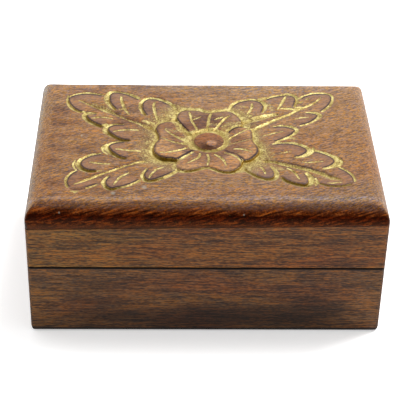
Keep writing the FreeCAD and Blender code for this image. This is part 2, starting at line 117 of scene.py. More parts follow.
# Gouge cuts: veins, midribs and second lines, with their full width at each point.
VEINS = [
    # midribs
    dict(p=[(-57.2, 32.8, 0.6), (-53.2, 30.1, 1.2), (-49.4, 27.3, 1.3), (-47.2, 26.0, 1.8), (-44.4, 24.1, 2.8), (-41.6, 22.3, 2.2), (-37.8, 19.1, 1.2), (-34, 16.3, 1.2), (-30.3, 13.9, 1.5), (-27, 11.8, 2.4), (-24.3, 10.4, 3.2)], d=0.42, g=0.62),
    dict(p=[(-55.2, -35, 0.7), (-52, -32.5, 1.3), (-49, -30.4, 1.4), (-46, -28.2, 1.4), (-43, -26.1, 1.2), (-40.5, -24.8, 1.1), (-38, -23.1, 1.2), (-35, -21, 1.1), (-32, -19.5, 0.9), (-29, -17.8, 1.0), (-26.5, -17, 1.4)], d=0.5, g=0.95),
    dict(p=[(53.5, 36.5, 0.6), (51, 33.1, 1.1), (48.5, 30.6, 1.4), (46, 28.6, 1.6), (43, 26.4, 1.8), (40, 23.8, 1.6), (37.5, 21.4, 1.8), (34, 19.1, 1.8), (30, 16.1, 2.2), (26, 12.9, 2.3), (23, 10.7, 2.2), (21, 9.4, 1.6)], d=0.42, g=0.85),
    dict(p=[(56.4, -30.8, 0.7), (52.5, -28.4, 1.8), (49.5, -26.6, 2.3), (46, -24.5, 2.4), (42.5, -22.7, 2.4), (39, -21.2, 2.4), (35, -19.7, 2.2), (32, -18.5, 2.1), (28, -16.8, 2.0), (25, -15.8, 2.3)], d=0.55, g=0.75),
    # leaflet veins, back left
    dict(p=[(-37.9, 36.6, 0.5), (-37.6, 32.5, 1.3), (-36.9, 28.8, 1.4), (-36.2, 25.6, 1.2), (-35, 22.9, 1.0), (-34.1, 20.7, 0.6)], d=0.42),
    dict(p=[(-38.4, 24.7, 0.7), (-36.6, 25.4, 1.0)], d=0.3, g=0.7),
    dict(p=[(-22.5, 31.6, 0.5), (-23, 29, 1.2), (-22.8, 25, 1.3), (-22.2, 21, 1.2), (-21.3, 17.6, 1.0), (-20.7, 15.8, 0.9)], d=0.42),
    dict(p=[(-50.3, 17.4, 0.7), (-48, 18, 1.1), (-46, 18.2, 1.1), (-43.5, 17.7, 0.9), (-41.2, 16.8, 0.6)], d=0.36),
    dict(p=[(-40.4, 6.1, 0.7), (-38.5, 7, 1.1), (-36, 7.5, 1.0), (-33, 7.8, 0.9), (-29.4, 7.3, 0.7)], d=0.36),
    # front left
    dict(p=[(-39, -7.8, 0.6), (-37, -8.2, 0.9), (-35, -8.7, 1.0), (-32, -9.2, 0.9), (-28.4, -9.1, 0.8)], d=0.34, g=0.8),
    dict(p=[(-49.4, -18.4, 0.7), (-47, -19, 1.1), (-44.5, -19.5, 0.9), (-41.3, -19.7, 0.6)], d=0.34),
    dict(p=[(-33, -26.6, 0.5), (-35.5, -28.7, 1.0), (-37.3, -31.2, 1.0), (-38.8, -35, 0.5)], d=0.36),
    dict(p=[(-18.8, -21.9, 0.7), (-21.5, -24, 1.0), (-23.3, -27, 1.0), (-24.3, -30, 0.6)], d=0.36),
    dict(p=[(-44.3, -5.2, 0.5), (-44.9, -7.5, 1.0), (-44.1, -10, 0.9), (-42.4, -12.3, 0.5)], d=0.18, g=0.95),
    dict(p=[(-55.9, -16.9, 0.5), (-56.6, -20, 1.0), (-56, -22.9, 0.9), (-54.9, -24.5, 0.7)], d=0.2, g=0.95),
    dict(p=[(-47.3, -25.4, 0.7), (-45.4, -24.8, 0.9), (-43.8, -24.6, 0.5)], d=0.25, g=0.8),
    # back right
    dict(p=[(21.6, 30.4, 0.8), (21.5, 28, 1.3), (20.7, 25, 1.1), (19.6, 22.5, 1.0), (19.1, 20.8, 0.6)], d=0.4),
    dict(p=[(37.4, 37.1, 0.7), (36.3, 34, 1.3), (35, 30.5, 1.1), (33.8, 27.5, 1.0), (32.9, 25.6, 0.6)], d=0.4),
    dict(p=[(34.7, 26.6, 0.9), (37, 26.6, 1.6), (39.5, 26.3, 1.6), (41.5, 26.2, 1.2)], d=0.4),
    dict(p=[(41.6, 27.6, 0.8), (43.4, 27.9, 1.4), (45.4, 28.2, 0.9)], d=0.32),
    dict(p=[(42.2, 31.2, 0.6), (43.6, 31.8, 1.1), (45, 32.4, 0.5)], d=0.3, g=0.9),
    dict(p=[(46.6, 34.9, 0.8), (47.6, 35.3, 1.2), (48.4, 35.5, 0.6)], d=0.25, g=0.9),
    dict(p=[(46.4, 19.3, 0.5), (43.5, 18.9, 1.0), (40.4, 17.7, 0.6)], d=0.32, g=0.75),
    dict(p=[(34.1, 7.2, 0.6), (31, 6, 0.8), (28, 4.6, 0.8), (25.1, 3.3, 0.5)], d=0.34, g=0.75),
    dict(p=[(17.4, 15.0, 2.4), (21, 16.5, 3.4), (25, 18.5, 3.8), (29, 20.4, 2.8), (32.8, 21.4, 1.2)], d=0.5, g=0.62),
    dict(p=[(19, 17.4, 0.8), (24, 19.6, 1.2), (28.5, 21.3, 1.0), (32, 21.9, 0.6)], d=0.2, g=0.9),
    dict(p=[(19.9, 20.3, 0.9), (20.9, 20.3, 0.9)], d=0.2, g=0.9),
    # front right
    dict(p=[(37, -8.9, 0.5), (34.5, -9.7, 0.9), (31, -10.8, 0.5)], d=0.3, g=0.55),
    dict(p=[(50, -16.7, 0.6), (46.5, -17.2, 0.9), (43, -17.7, 0.8), (41, -17.3, 0.5)], d=0.32, g=0.75),
    dict(p=[(46.3, -5.6, 0.8), (46.6, -8, 1.1), (45.5, -10.2, 1.0), (43.4, -12.2, 0.9), (40.8, -13.6, 0.6)], d=0.38),
    dict(p=[(56.2, -13.2, 0.8), (57.7, -15.5, 1.2), (57.7, -18, 1.2), (56.2, -20.2, 1.1), (54, -21.2, 0.8)], d=0.4),
    dict(p=[(50.4, -33.2, 0.5), (52.5, -33.3, 0.9), (54.3, -32.9, 0.8), (56.4, -32.6, 0.5)], d=0.22, g=0.7),
    dict(p=[(22.8, -20.8, 0.6), (24, -23.4, 1.1), (24.7, -26.7, 0.5)], d=0.36),
    dict(p=[(34.3, -22.1, 0.8), (36.5, -24.4, 1.2), (37.8, -27.4, 1.0), (38.7, -30.4, 0.5)], d=0.38),
    dict(p=[(42.2, -25.2, 0.7), (43.6, -27.5, 1.3), (44.3, -30.5, 1.3), (44.2, -33, 1.3)], d=0.2, g=0.9),
    dict(p=[(45.6, -29.8, 0.6), (46.1, -32.6, 1.1), (45.3, -35, 0.9)], d=0.2, g=0.9),
    dict(p=[(52, -26.4, 0.4), (49.5, -24.9, 0.6), (46, -22.8, 0.7), (42.5, -21.0, 0.7), (39, -19.5, 0.7), (35, -18.1, 0.7), (30, -16.1, 0.5)], d=0.1, g=0.0, grime_shade_amount=0.65),
    # beads of paint where leaflets meet
    dict(p=[(-56.6, -40.1, 0.6), (-55.2, -40.4, 0.9), (-53.4, -40.3, 0.5)], d=0.15, g=1.0),
    dict(p=[(-45.2, 11.7, 1.2), (-44.1, 11.5, 2.3), (-42.8, 11.4, 1.2)], d=0.2, g=1.25),
    dict(p=[(-54.6, 22.9, 1.0), (-53.4, 21.7, 1.8), (-52.6, 20.9, 1.2)], d=0.2, g=1.05),
    # petals
    dict(p=[(-6.9, 23.2, 0.6), (-6.3, 19, 1.1), (-5.7, 15.5, 1.1), (-4.5, 12.5, 1.0), (-3.6, 9.6, 1.2)], d=0.4),
    dict(p=[(2.9, 22, 0.9), (2, 19, 1.2), (1.5, 15.5, 1.1), (1.1, 12, 1.1), (1.1, 9.4, 1.3)], d=0.42),
    dict(p=[(11.3, 20.3, 0.6), (9, 18, 1.3), (7, 15, 1.2), (5.5, 12, 1.1), (4.2, 9.4, 1.2)], d=0.42),
    dict(p=[(-5.2, 17.2, 0.9), (-3.4, 18.4, 1.0), (-1.6, 19.6, 0.5)], d=0.2, g=0.7),
    dict(p=[(4.4, 17.4, 0.7), (6.0, 18.3, 1.2), (8, 19.2, 0.8)], d=0.25, g=0.8),
    dict(p=[(2.4, 14.2, 0.6), (3.6, 14.6, 0.9), (5.2, 14.3, 0.6)], d=0.3, g=0.4),
    dict(p=[(-17.8, 8.5, 0.5), (-15.5, 5.6, 0.9), (-13, 3.3, 1.1), (-10.5, 1.4, 1.1), (-8.4, 0.1, 1.1)], d=0.38),
    dict(p=[(-19.3, 1.7, 0.5), (-16, -0.4, 0.9), (-13, -1.6, 1.0), (-8.7, -2.5, 1.0)], d=0.36, g=0.85),
    dict(p=[(-19.8, -10.3, 0.5), (-16.5, -9.9, 0.9), (-13.5, -8.8, 1.0), (-11, -7.3, 1.1), (-8.6, -5.6, 1.2)], d=0.38),
    dict(p=[(-2.6, -10, 1.1), (-3.4, -13.2, 1.0), (-5.5, -15.9, 0.9), (-8.2, -18.3, 0.5)], d=0.36),
    dict(p=[(0.6, -10.6, 0.9), (1.1, -14.4, 0.9), (0.7, -17.4, 0.8), (0.3, -20, 0.5)], d=0.36),
    dict(p=[(3.8, -10.4, 1.0), (6, -13, 1.1), (7.4, -16, 1.0), (8.3, -20, 0.5)], d=0.38),
    dict(p=[(9.9, 1.6, 1.0), (12, 3.9, 1.1), (13.6, 5.3, 1.0), (16.5, 7.6, 0.8), (19.3, 9.4, 0.8)], d=0.36),
    dict(p=[(10.8, -2.2, 0.5), (13.5, -1.0, 0.9), (16.5, 0.2, 0.8), (20.2, 1.2, 0.5)], d=0.2, g=0.55),
    dict(p=[(12.2, -6.2, 0.5), (15.3, -6.5, 1.1), (17.5, -7.7, 1.1), (19.7, -9.4, 0.5)], d=0.34, g=0.9),
    dict(p=[(12.6, -10.4, 0.5), (14.4, -10.2, 0.7), (16.2, -9.9, 0.4)], d=0.2, g=0.45),
    # petal borders cut as plain grooves
    dict(p=[(-5.6, -8.6, 1.0), (-8, -11.4, 1.2), (-10.5, -14.3, 1.2), (-12.9, -16.6, 1.2)], d=0.3),
    # paint wiped thin over the wood
    dict(p=[(-7.6, -12.0, 1.6), (-9.6, -14.4, 2.0), (-11.6, -16.8, 2.2), (-12.4, -19, 1.8)], d=0.04, g=0.42),
    dict(p=[(-50.4, 29.6, 2.4), (-47, 28.2, 4.2), (-43.6, 26.2, 3.6), (-41, 24.2, 2.4)], d=0.04, g=0.40),
    dict(p=[(-27.0, 15.4, 2.2), (-24.2, 14.2, 4.0), (-21.8, 13.0, 2.6)], d=0.04, g=0.66),
    dict(p=[(-17.2, 9.0, 1.8), (-15.2, 8.2, 3.0), (-13.0, 7.2, 2.6)], d=0.04, g=0.42),
    dict(p=[(-13.4, 28.6, 2.0), (-11.2, 28.0, 3.2), (-9.0, 27.4, 2.2)], d=0.04, g=0.5),
    dict(p=[(34.6, 1.6, 1.4), (37.2, 1.8, 2.4), (39.6, 1.0, 1.6)], d=0.04, g=0.55),
    dict(p=[(-31.0, -18.6, 2.0), (-28.0, -18.0, 3.6), (-25.4, -17.6, 2.8)], d=0.04, g=0.52),
    dict(p=[(1.0, 14.4, 2.0), (3.2, 14.0, 3.2), (5.4, 13.6, 2.2)], d=0.04, g=0.42),
    dict(p=[(14.6, 28.8, 1.6), (17.0, 28.2, 2.6), (19.2, 27.4, 1.8)], d=0.04, g=0.42),
    dict(p=[(28.8, 31.4, 2.6), (29.6, 28.4, 4.0), (30.6, 25.4, 3.0)], d=0.04, g=0.40),
    dict(p=[(25.0, 34.9, 1.8), (27.2, 35.2, 2.6), (29.4, 36.4, 1.8)], d=0.12, g=0.66),
    dict(p=[(-7.4, 21.4, 1.4), (-5.4, 20.2, 2.2), (-3.8, 18.6, 1.6)], d=0.04, g=0.34),
    dict(p=[(-53.6, 20.6, 2.2), (-51.6, 20.8, 3.2), (-49.8, 21.2, 2.2)], d=0.04, g=0.46),
    dict(p=[(55, -30.8, 1.6), (52.5, -29.8, 3.4), (49.5, -28.0, 3.4)], d=0.04, g=0.52),
    dict(p=[(33.5, -23.5, 2.0), (30.5, -22.4, 3.2), (27.8, -20.0, 3.2)], d=0.04, g=0.44),
    dict(p=[(8.2, -9.2, 0.8), (11.2, -11.1, 0.9), (13.4, -13.8, 0.9), (14.8, -17, 0.9), (15.3, -19.5, 1.0)], d=0.3),
]

PETALS = [
    [(-6, 4.8), (-8.3, 8.8), (-10.5, 12.3), (-12.3, 16), (-13, 18.5), (-12.4, 21.5), (-11, 23.9), (-8.5, 25.2), (-5, 25.2), (-2.2, 24.8), (0.2, 23.3),
     (3, 23.2), (7, 24.2), (10, 24.7), (12.6, 23.5), (14.8, 20.5), (16.2, 17.2), (16.6, 13.5), (14.5, 11.5), (12, 10.2), (10, 8), (8.5, 5.5), (1.4, -1)],
    [(-5.2, 8.4), (-8.2, 13.0), (-11.2, 16.6), (-15.5, 15.6), (-18, 15), (-20.5, 13.5), (-21.8, 11), (-22, 8), (-21.2, 5), (-20.7, 2), (-21, 0), (-22.3, -2.5),
     (-23, -6), (-23, -9), (-22, -11.5), (-20, -13.6), (-17.5, -14.7), (-15, -15), (-12.8, -15.8), (-10.5, -13.8), (-8, -11), (-6, -8.5), (1.4, -1)],
    [(-6.4, -6.6), (-8.9, -9.3), (-11.2, -12.4), (-12.6, -15.4), (-13.3, -19.2), (-13.1, -21.8), (-11.8, -23.5), (-9.5, -24.3), (-7, -24.1), (-4, -23), (-1.5, -21.8),
     (0.5, -21.6), (3, -22.8), (5.5, -24.3), (8, -25), (10.5, -24.6), (13, -22.9), (14.6, -20.5), (15.4, -18), (15.6, -15.2), (14.4, -11.0), (12.0, -8.6), (9.8, -7.2), (1.4, -1)],
    [(7.4, 6.2), (8.9, 9.2), (11.2, 11.6), (14.2, 12.6), (17, 11.3), (19.2, 10.2), (20.5, 8.5), (20.9, 5), (20.8, 2), (21, -0.5), (22.3, -3.5), (23.2, -7),
     (22.8, -10), (21.5, -12.5), (19.5, -15), (17.5, -16.3), (15.6, -16.4), (14.6, -14.5), (12.8, -12), (10.8, -10.2), (9, -9), (1.4, -1)],
]
BOSS = (1.4, 0.6, 6.6, 1.1)     # centre, half width, depth over width
# paint in the groove round the boss: angle, reach, amount
RING = [(0, 3.8, 0.55), (30, 5.4, 0.62), (50, 4.4, 0.82), (75, 3.6, 0.95), (105, 3.6, 0.95), (130, 4.0, 0.85), (155, 5.4, 0.68), (180, 6.4, 0.62), (200, 5.6, 0.72), (215, 4.8, 0.85), (232, 2.6, 0.9),
        (250, 1.7, 0.95), (275, 1.7, 1.0), (300, 2.1, 1.1), (325, 2.6, 0.95), (345, 3.4, 0.65), (360, 3.8, 0.55)]
# ground round the flower: angle, depth, reach, paint
GROUND = [(0, 1.05, 5.0, 0.85), (18, 1.0, 5.6, 0.78), (30, 1.0, 5.6, 0.62), (45, 0.95, 7.0, 0.85), (60, 0.8, 7.0, 0.82), (74, 0.8, 3.2, 0.9), (90, 0.85, 2.4, 1.0), (108, 0.85, 3.2, 0.95), (118, 0.95, 7.0, 0.92), (130, 1.0, 9.0, 0.95),
          (146, 1.1, 8.0, 0.66), (170, 1.15, 8.0, 0.74), (190, 1.25, 8.2, 0.76), (204, 1.5, 8.6, 0.86), (214, 1.8, 9.0, 0.95), (222, 1.7, 9.0, 0.9), (230, 0.85, 6.5, 0.62), (238, 0.75, 3.6, 0.6), (250, 1.15, 2.2, 0.9), (268, 0.8, 1.8, 1.0),
          (284, 1.1, 2.1, 0.95), (296, 1.25, 3.2, 0.9), (306, 1.3, 8.0, 0.95), (320, 1.3, 10.0, 0.95), (334, 1.25, 8.5, 0.9), (346, 1.1, 5.6, 0.85), (360, 1.05, 5.0, 0.85)]

# pale specks lying on the lid: place and half sizes
DUST = [(-26.26, -37.2, 64.5, 1.4, 1.6), (-39.06, -41.5, 64.5, 1.3, 1.5), (-54.24, 2.8, 64.5, 0.6, 1.2), (-60.67, -51.1, 61.3, 0.5, 0.6), (14.65, -51.4, 60.8, 0.45, 0.55)]


def curve_points(pts, default_w, step=0.3):
    """Smooth open curve through the points, evenly stepped: x, y and width."""
    p = np.array([[q[0], q[1], q[2] if len(q) > 2 else default_w] for q in pts], float)
    ext = np.vstack([2 * p[0] - p[1], p, 2 * p[-1] - p[-2]])
    out = []
    for i in range(1, len(ext) - 2):
        a, b, c, d = ext[i - 1], ext[i], ext[i + 1], ext[i + 2]
        n = max(2, int(np.hypot(*(c - b)[:2]) / step))
        t = (np.arange(n) / n)[:, None]
        out.append(0.5 * (2 * b + (c - a) * t + (2 * a - 5 * b + 4 * c - d) * t ** 2 + (-a + 3 * b - 3 * c + d) * t ** 3))
    return np.vstack(out + [p[-1:]])


def curve_field(q, x, y, reach):
    """Nearest distance, side (+ on the left), place along, width and heading, for the points near the curve."""
    near = np.nonzero((x > q[:, 0].min() - reach) & (x < q[:, 0].max() + reach) & (y > q[:, 1].min() - reach) & (y < q[:, 1].max() + reach))[0]
    a, b = q[:-1], q[1:]
    ab = b[:, :2] - a[:, :2]
    l2 = np.maximum((ab ** 2).sum(1), 1e-12)
    run = np.concatenate([[0], np.cumsum(np.sqrt(l2))])
    d, side, s, w, tx = (np.zeros(len(near)) for _ in range(5))
    for k in range(0, len(near), 4000):
        i = near[k:k + 4000]
        rx, ry = x[i][:, None] - a[:, 0], y[i][:, None] - a[:, 1]
        t = np.clip((rx * ab[:, 0] + ry * ab[:, 1]) / l2, 0, 1)
        ex, ey = rx - t * ab[:, 0], ry - t * ab[:, 1]
        dd = ex ** 2 + ey ** 2
        j = dd.argmin(1)
        r = np.arange(len(i))
        d[k:k + 4000] = np.sqrt(dd[r, j])
        side[k:k + 4000] = np.sign(ab[j, 0] * ry[r, j] - ab[j, 1] * rx[r, j])
        s[k:k + 4000] = run[j] + t[r, j] * np.sqrt(l2[j])
        w[k:k + 4000] = a[j, 2] + t[r, j] * (b[j, 2] - a[j, 2])
        tx[k:k + 4000] = ab[j, 0] / np.sqrt(l2[j])
    return near, d, side, s, run[-1], w, tx


def polygon_sdf(poly, x, y):
    """Signed distance to a closed outline, negative inside."""
    p = curve_points(poly + [poly[0]], 1.0, 0.5)[:, :2]
    a, b = p[:-1], p[1:]
    ab = b - a
    l2 = np.maximum((ab ** 2).sum(1), 1e-12)
    out = np.zeros(len(x))
    for k in range(0, len(x), 4000):
        rx, ry = x[k:k + 4000][:, None] - a[:, 0], y[k:k + 4000][:, None] - a[:, 1]
        t = np.clip((rx * ab[:, 0] + ry * ab[:, 1]) / l2, 0, 1)
        dd = np.sqrt(((rx - t * ab[:, 0]) ** 2 + (ry - t * ab[:, 1]) ** 2).min(1))
        yy = y[k:k + 4000][:, None]
        cond = (a[:, 1] > yy) != (b[:, 1] > yy)
        xin = a[:, 0] + (yy - a[:, 1]) / np.where(np.abs(ab[:, 1]) < 1e-12, 1e-12, ab[:, 1]) * ab[:, 0]
        inside = (cond & (x[k:k + 4000][:, None] < xin)).sum(1) % 2 == 1
        out[k:k + 4000] = np.where(inside, -dd, dd)
    return out


def smooth(e0, e1, v):
    t = np.clip((v - e0) / (e1 - e0), 0, 1)
    return t * t * (3 - 2 * t)


def lattice_noise(x, y, cell, seed):
    """Smooth noise from -1 to 1 on a fixed lattice."""
    r = np.random.RandomState(seed).uniform(-1, 1, (64, 64))
    u, v = x / cell + 31.3, y / cell + 17.7
    i, j = np.floor(u).astype(int), np.floor(v).astype(int)
    fu, fv = u - i, v - j
    fu, fv = fu * fu * (3 - 2 * fu), fv * fv * (3 - 2 * fv)
    g = lambda a, b: r[a % 64, b % 64]
    return (g(i, j) * (1 - fu) + g(i + 1, j) * fu) * (1 - fv) + (g(i, j + 1) * (1 - fu) + g(i + 1, j + 1) * fu) * fv


def carve(x, y):
    """Depth of the carving below the lid's top, and the masks for paint, dirt with painted shade on the rims, leaf
    stain, painted shade and painted highlights.
    """
    n = len(x)
    edge, vein = np.zeros(n), np.zeros(n)
    gold, grime_and_shade, leaf, calm, lit, front_wall_shade = (np.zeros(n) for _ in range(6))
    wob = lattice_noise(x, y, 2.3, 5)
    # leaflet edges
    for k, e in enumerate(EDGES):
        q = curve_points(e["p"], e["w"])
        i, d, side, s, total, w, tx = curve_field(q, x, y, 6.0)
        sd = -d * side                                   # + on the low, sloping side
        ends = smooth(-0.3, 1.0, s) * smooth(-0.3, 1.0, total - s)
        past = np.maximum(0, np.minimum(s, total - s))
        cap = np.where((past < 1e-6), smooth(0.9, 0.0, d), 1.0)
        depth = np.where(sd >= 0, np.clip(1 - sd / w, 0, 1) ** 1.15, np.clip(1 + sd / e.get("wall", 0.45), 0, 1))
        depth = depth * e["d"] * (1 + e.get("front", 0.35) * np.clip(tx, 0, 1)) * (0.35 + 0.65 * ends) * cap
        edge[i] = np.maximum(edge[i], depth)
        near_e = (1 - smooth(0.9, 1.6, d)) * cap
        lit[i] = np.maximum(lit[i], near_e * e.get("soft", 0.0))
        # painted shade on the wall under each front edge, its strength set by the edge's dark value
        front_wall_shade[i] = np.maximum(front_wall_shade[i], smooth(0.1, 0.6, tx) * cap * (1 - smooth(0.4 * w, 0.75 * w, sd)) * (1 - smooth(0.3, 0.6, -sd)) * e.get("dark", 0.0))
        gw = w * (0.76 + 0.16 * wob[i])
        paint = np.where(sd >= 0, 1 - smooth(gw - 0.35, gw + 0.1, sd), 1 - smooth(0.25, 0.6, -sd))
        paint = paint * (0.7 + 0.3 * ends) * cap * e.get("g", 1.0) * (1 - 0.38 * smooth(0.9, 1.9, sd)) * (1 - 0.15 * smooth(2.0, 3.0, w))
        gold[i] = np.maximum(gold[i], paint)
        reach = 1 + 0.4 * np.abs(tx)
        # dirt and painted shade: a dark line just inside the raised rim of each edge
        dark = np.where(sd < 0, smooth(0.2, 0.45, -sd) * (1 - smooth(0.75 * reach, 1.2 * reach, -sd)), 0) * (0.5 + 0.5 * ends) * cap
        grime_and_shade[i] = np.maximum(grime_and_shade[i], dark * e.get("grime_shade_amount", 1.0))
        least = e.get("mauve", 0.45)
        inner = np.where(sd < 0, 1 - smooth(1.0, 4.0 + 2.5 * least, -sd), 0) * cap * e.get("lobe", 1.0) * (least + (1 - least) * np.clip(-tx * 1.4, 0, 1))
        leaf[i] = np.maximum(leaf[i], inner)
        calm[i] = np.maximum(calm[i], np.where(sd < 0, 1 - smooth(4.5, 6.0, -sd), 1 - smooth(0.5, 2.5, sd)) * cap)
    # flower
    bx, by, br, flat = BOSS
    rho = np.hypot(x - bx, (y - by) / flat)
    turn = np.degrees(np.arctan2((y - by) / flat, x - bx)) % 360
    ang = np.degrees(np.arctan2(y + 0.9, x - 1.45)) % 360
    each = [polygon_sdf(p, x, y) for p in PETALS]
    sdf = np.min(each, axis=0)
    sdf = np.where(rho < 8.6, np.minimum(sdf, -0.8), sdf)
    g_d, g_w, g_p = (np.interp(ang, [g[0] for g in GROUND], [g[c] for g in GROUND]) for c in (1, 2, 3))
    out = np.maximum(sdf, 0)
    ground = g_d * np.clip(1 - out / g_w, 0, 1) ** 1.25
    dish = 0.12 + 0.78 * (1 - smooth(9.0, 21.0, rho)) + 0.28 * np.clip(1 + sdf / 2.2, 0, 1) ** 2
    wall = smooth(-0.42, 0.12, sdf)
    base = np.where(sdf > 0.12, ground, dish * (1 - wall) + np.maximum(ground, 0.3) * wall)
    ring = 1.4 - 0.5 * smooth(br + 1.0, br + 3.2, rho)
    q = np.clip(rho / br, 0, 1)
    dome = 1.4 - 0.8 * np.clip(1 - q ** 2.6, 0, 1) ** 0.55
    cap_r = np.hypot(x - 2.5, y + 2.2) / 2.5
    cap_a = np.arctan2(y + 2.2, x - 2.5)
    dome -= 0.4 * (1 - smooth(0.72, 1.12, cap_r))
    boss = 1 - smooth(br - 0.4, br + 0.1, rho)
    # painted shade on the front left of the raised button
    crescent = boss * smooth(0.8, 1.1, cap_r) * (1 - smooth(1.7, 2.5, cap_r)) * np.clip(np.cos(cap_a - np.radians(252)), 0, 1) ** 0.6
    # painted highlight on the lit back slope of the boss
    boss_highlight = boss * smooth(0.9, 1.3, cap_r) * np.clip(np.cos(cap_a - np.radians(108)), 0, 1) ** 0.7
    # painted sheen on the button at the top of the boss
    button_sheen = 1 - smooth(0.66, 1.0, cap_r)
    in_ring = 1 - smooth(br + 1.6, br + 3.4, rho)
    base = np.where(rho < br, dome, base * (1 - in_ring) + ring * in_ring)
    paint = g_p * (1 - 0.38 * smooth(0.6, 2.0, out) - 0.3 * smooth(0.3, 0.9, out / g_w) - 0.25 * smooth(0.85, 1.2, out / g_w)) * (sdf > -0.45)
    gold = np.maximum(gold, np.where(rho > br + 2.4, paint, 0))
    # painted shade under the front edges of the petals
    front_wall_shade = np.maximum(front_wall_shade, smooth(-0.5, -0.2, sdf) * (1 - smooth(0.25, 0.8, sdf)) * smooth(240, 250, ang) * (1 - smooth(292, 302, ang)) * 0.85 * (1 - 0.5 * np.exp(-((ang - 268) / 7.0) ** 2)))
    front_wall_shade = np.maximum(front_wall_shade, smooth(-0.5, -0.1, sdf) * (1 - smooth(0.4, 1.1, sdf)) * smooth(204, 212, ang) * (1 - smooth(223, 230, ang)))
    r_w, r_p = (np.interp(turn, [r[0] for r in RING], [r[c] for r in RING]) for c in (1, 2))
    r_w = r_w * (1 + 0.15 * wob)
    gold = np.maximum(gold, np.where(rho > br - 0.2, 1 - smooth(br + r_w * 0.45, br + r_w + 0.6, rho), 0) * r_p)
    # painted shadow of the boss on the front left of the ring round it
    ring_shadow = np.exp(-((rho - br - 0.3) / 0.75) ** 2) * np.clip(np.cos(np.radians(turn - 238)), 0, 1) ** 1.3
    firm = 0.5 + 0.5 * np.maximum(np.exp(-((ang - 222) / 26.0) ** 2), np.exp(-((ang - 328) / 24.0) ** 2))
    # dirt and painted shade along the petal rims, strongest at the front left and front right
    rim = np.where(sdf < 0, smooth(0.2, 0.45, -sdf) * (1 - smooth(0.65 + 0.5 * firm, 1.05 + 0.7 * firm, -sdf)), 0) * firm * (rho > br + 3)
    rim = rim * (1 - np.exp(-((ang - 233.5) / 5.0) ** 2))
    grime_and_shade = np.maximum(grime_and_shade, rim)
    leaf = np.where(sdf < -0.3, 0.0, leaf)
    leaf = np.maximum(leaf, 0.7 * smooth(0.3, 1.2, -each[0]) * smooth(9.5, 14.0, y))
    petal = smooth(0.2, 1.0, -sdf) * (1 - boss) * (1 - 0.7 * smooth(9.5, 14.0, y))
    lit = np.maximum(lit, boss)
    calm = np.maximum(calm, 1 - smooth(2.0, 8.0, sdf)) * (1 - 0.6 * boss) * (1 - 0.5 * petal)
    # gouge cuts
    for k, v in enumerate(VEINS):
        q = curve_points(v["p"], 1.0)
        i, d, side, s, total, w, tx = curve_field(q, x, y, 3.0)
        half = np.maximum(w, 0.3) * 0.5
        depth = np.clip(1 - d / (half * 1.12), 0, 1) ** 0.85 * v["d"] * np.clip(w / 1.1, 0.45, 1.3)
        vein[i] = np.maximum(vein[i], depth)
        gh = half * (1.0 + 0.22 * wob[i])
        if v["d"] < 0.1:
            gold[i] = np.maximum(gold[i], (1 - smooth(gh * 0.15, gh * 1.5, d)) * v["g"])
            continue
        paint = (1 - smooth(gh * 0.72, gh * 1.12 + 0.08, d)) * v.get("g", 1.0)
        gold[i] = np.maximum(gold[i], paint)
        # dirt and painted shade: a faint dark halo beside each cut, and a dark line inside some cuts
        grime_and_shade[i] = np.maximum(grime_and_shade[i], smooth(gh * 0.9, gh * 1.2 + 0.1, d) * (1 - smooth(gh + 0.25, gh + 0.65, d)) * 0.3)
        if "grime_shade_amount" in v:
            grime_and_shade[i] = np.maximum(grime_and_shade[i], (1 - smooth(gh * 0.7, gh * 1.2, d)) * v["grime_shade_amount"])
    # broad hollow along each midrib, so that leaflets tilt towards it
    hollow = np.zeros(n)
    for v in VEINS[:4]:
        q = curve_points(v["p"], 1.0)
        i, d, side, s, total, w, tx = curve_field(q, x, y, 5.0)
        hollow[i] = np.maximum(hollow[i], 0.3 * (1 - smooth(0.2, 3.6, d)) * smooth(0, 5, s))
    depth = base + edge + vein + hollow * (sdf > 0)
    carved = np.clip((edge + vein + base) / 0.25, 0, 1)
    depth += carved * (0.03 * lattice_noise(x, y, 0.9, 11) + 0.03 * lattice_noise(x, y, 2.0, 12))
    grime_and_shade *= 1 - np.clip(gold * 1.2, 0, 1)
    return np.clip(depth, 0, 2.4), {"gold": gold, "grime_and_shade": grime_and_shade, "leaf": leaf, "calm": calm, "lit": lit, "painted_shade": np.maximum.reduce([crescent, ring_shadow, front_wall_shade]), "boss_highlight": boss_highlight, "button_sheen": button_sheen, "petal": petal}


# ================================================================ mesh tools
def new_object(name, verts_mm, faces, smooth_faces=None):
    me = bpy.data.meshes.new(name)
    me.from_pydata([tuple(v) for v in (np.asarray(verts_mm, float) * MM)], [], faces)
    me.update()
    if smooth_faces is not None:
        me.polygons.foreach_set("use_smooth", np.asarray(smooth_faces, bool))
    ob = bpy.data.objects.new(name, me)
    scene.collection.objects.link(ob)
    return ob


def set_attr(me, name, values):
    a = me.attributes.new(name, "FLOAT", "POINT")
    a.data.foreach_set("value", np.asarray(values, np.float32))


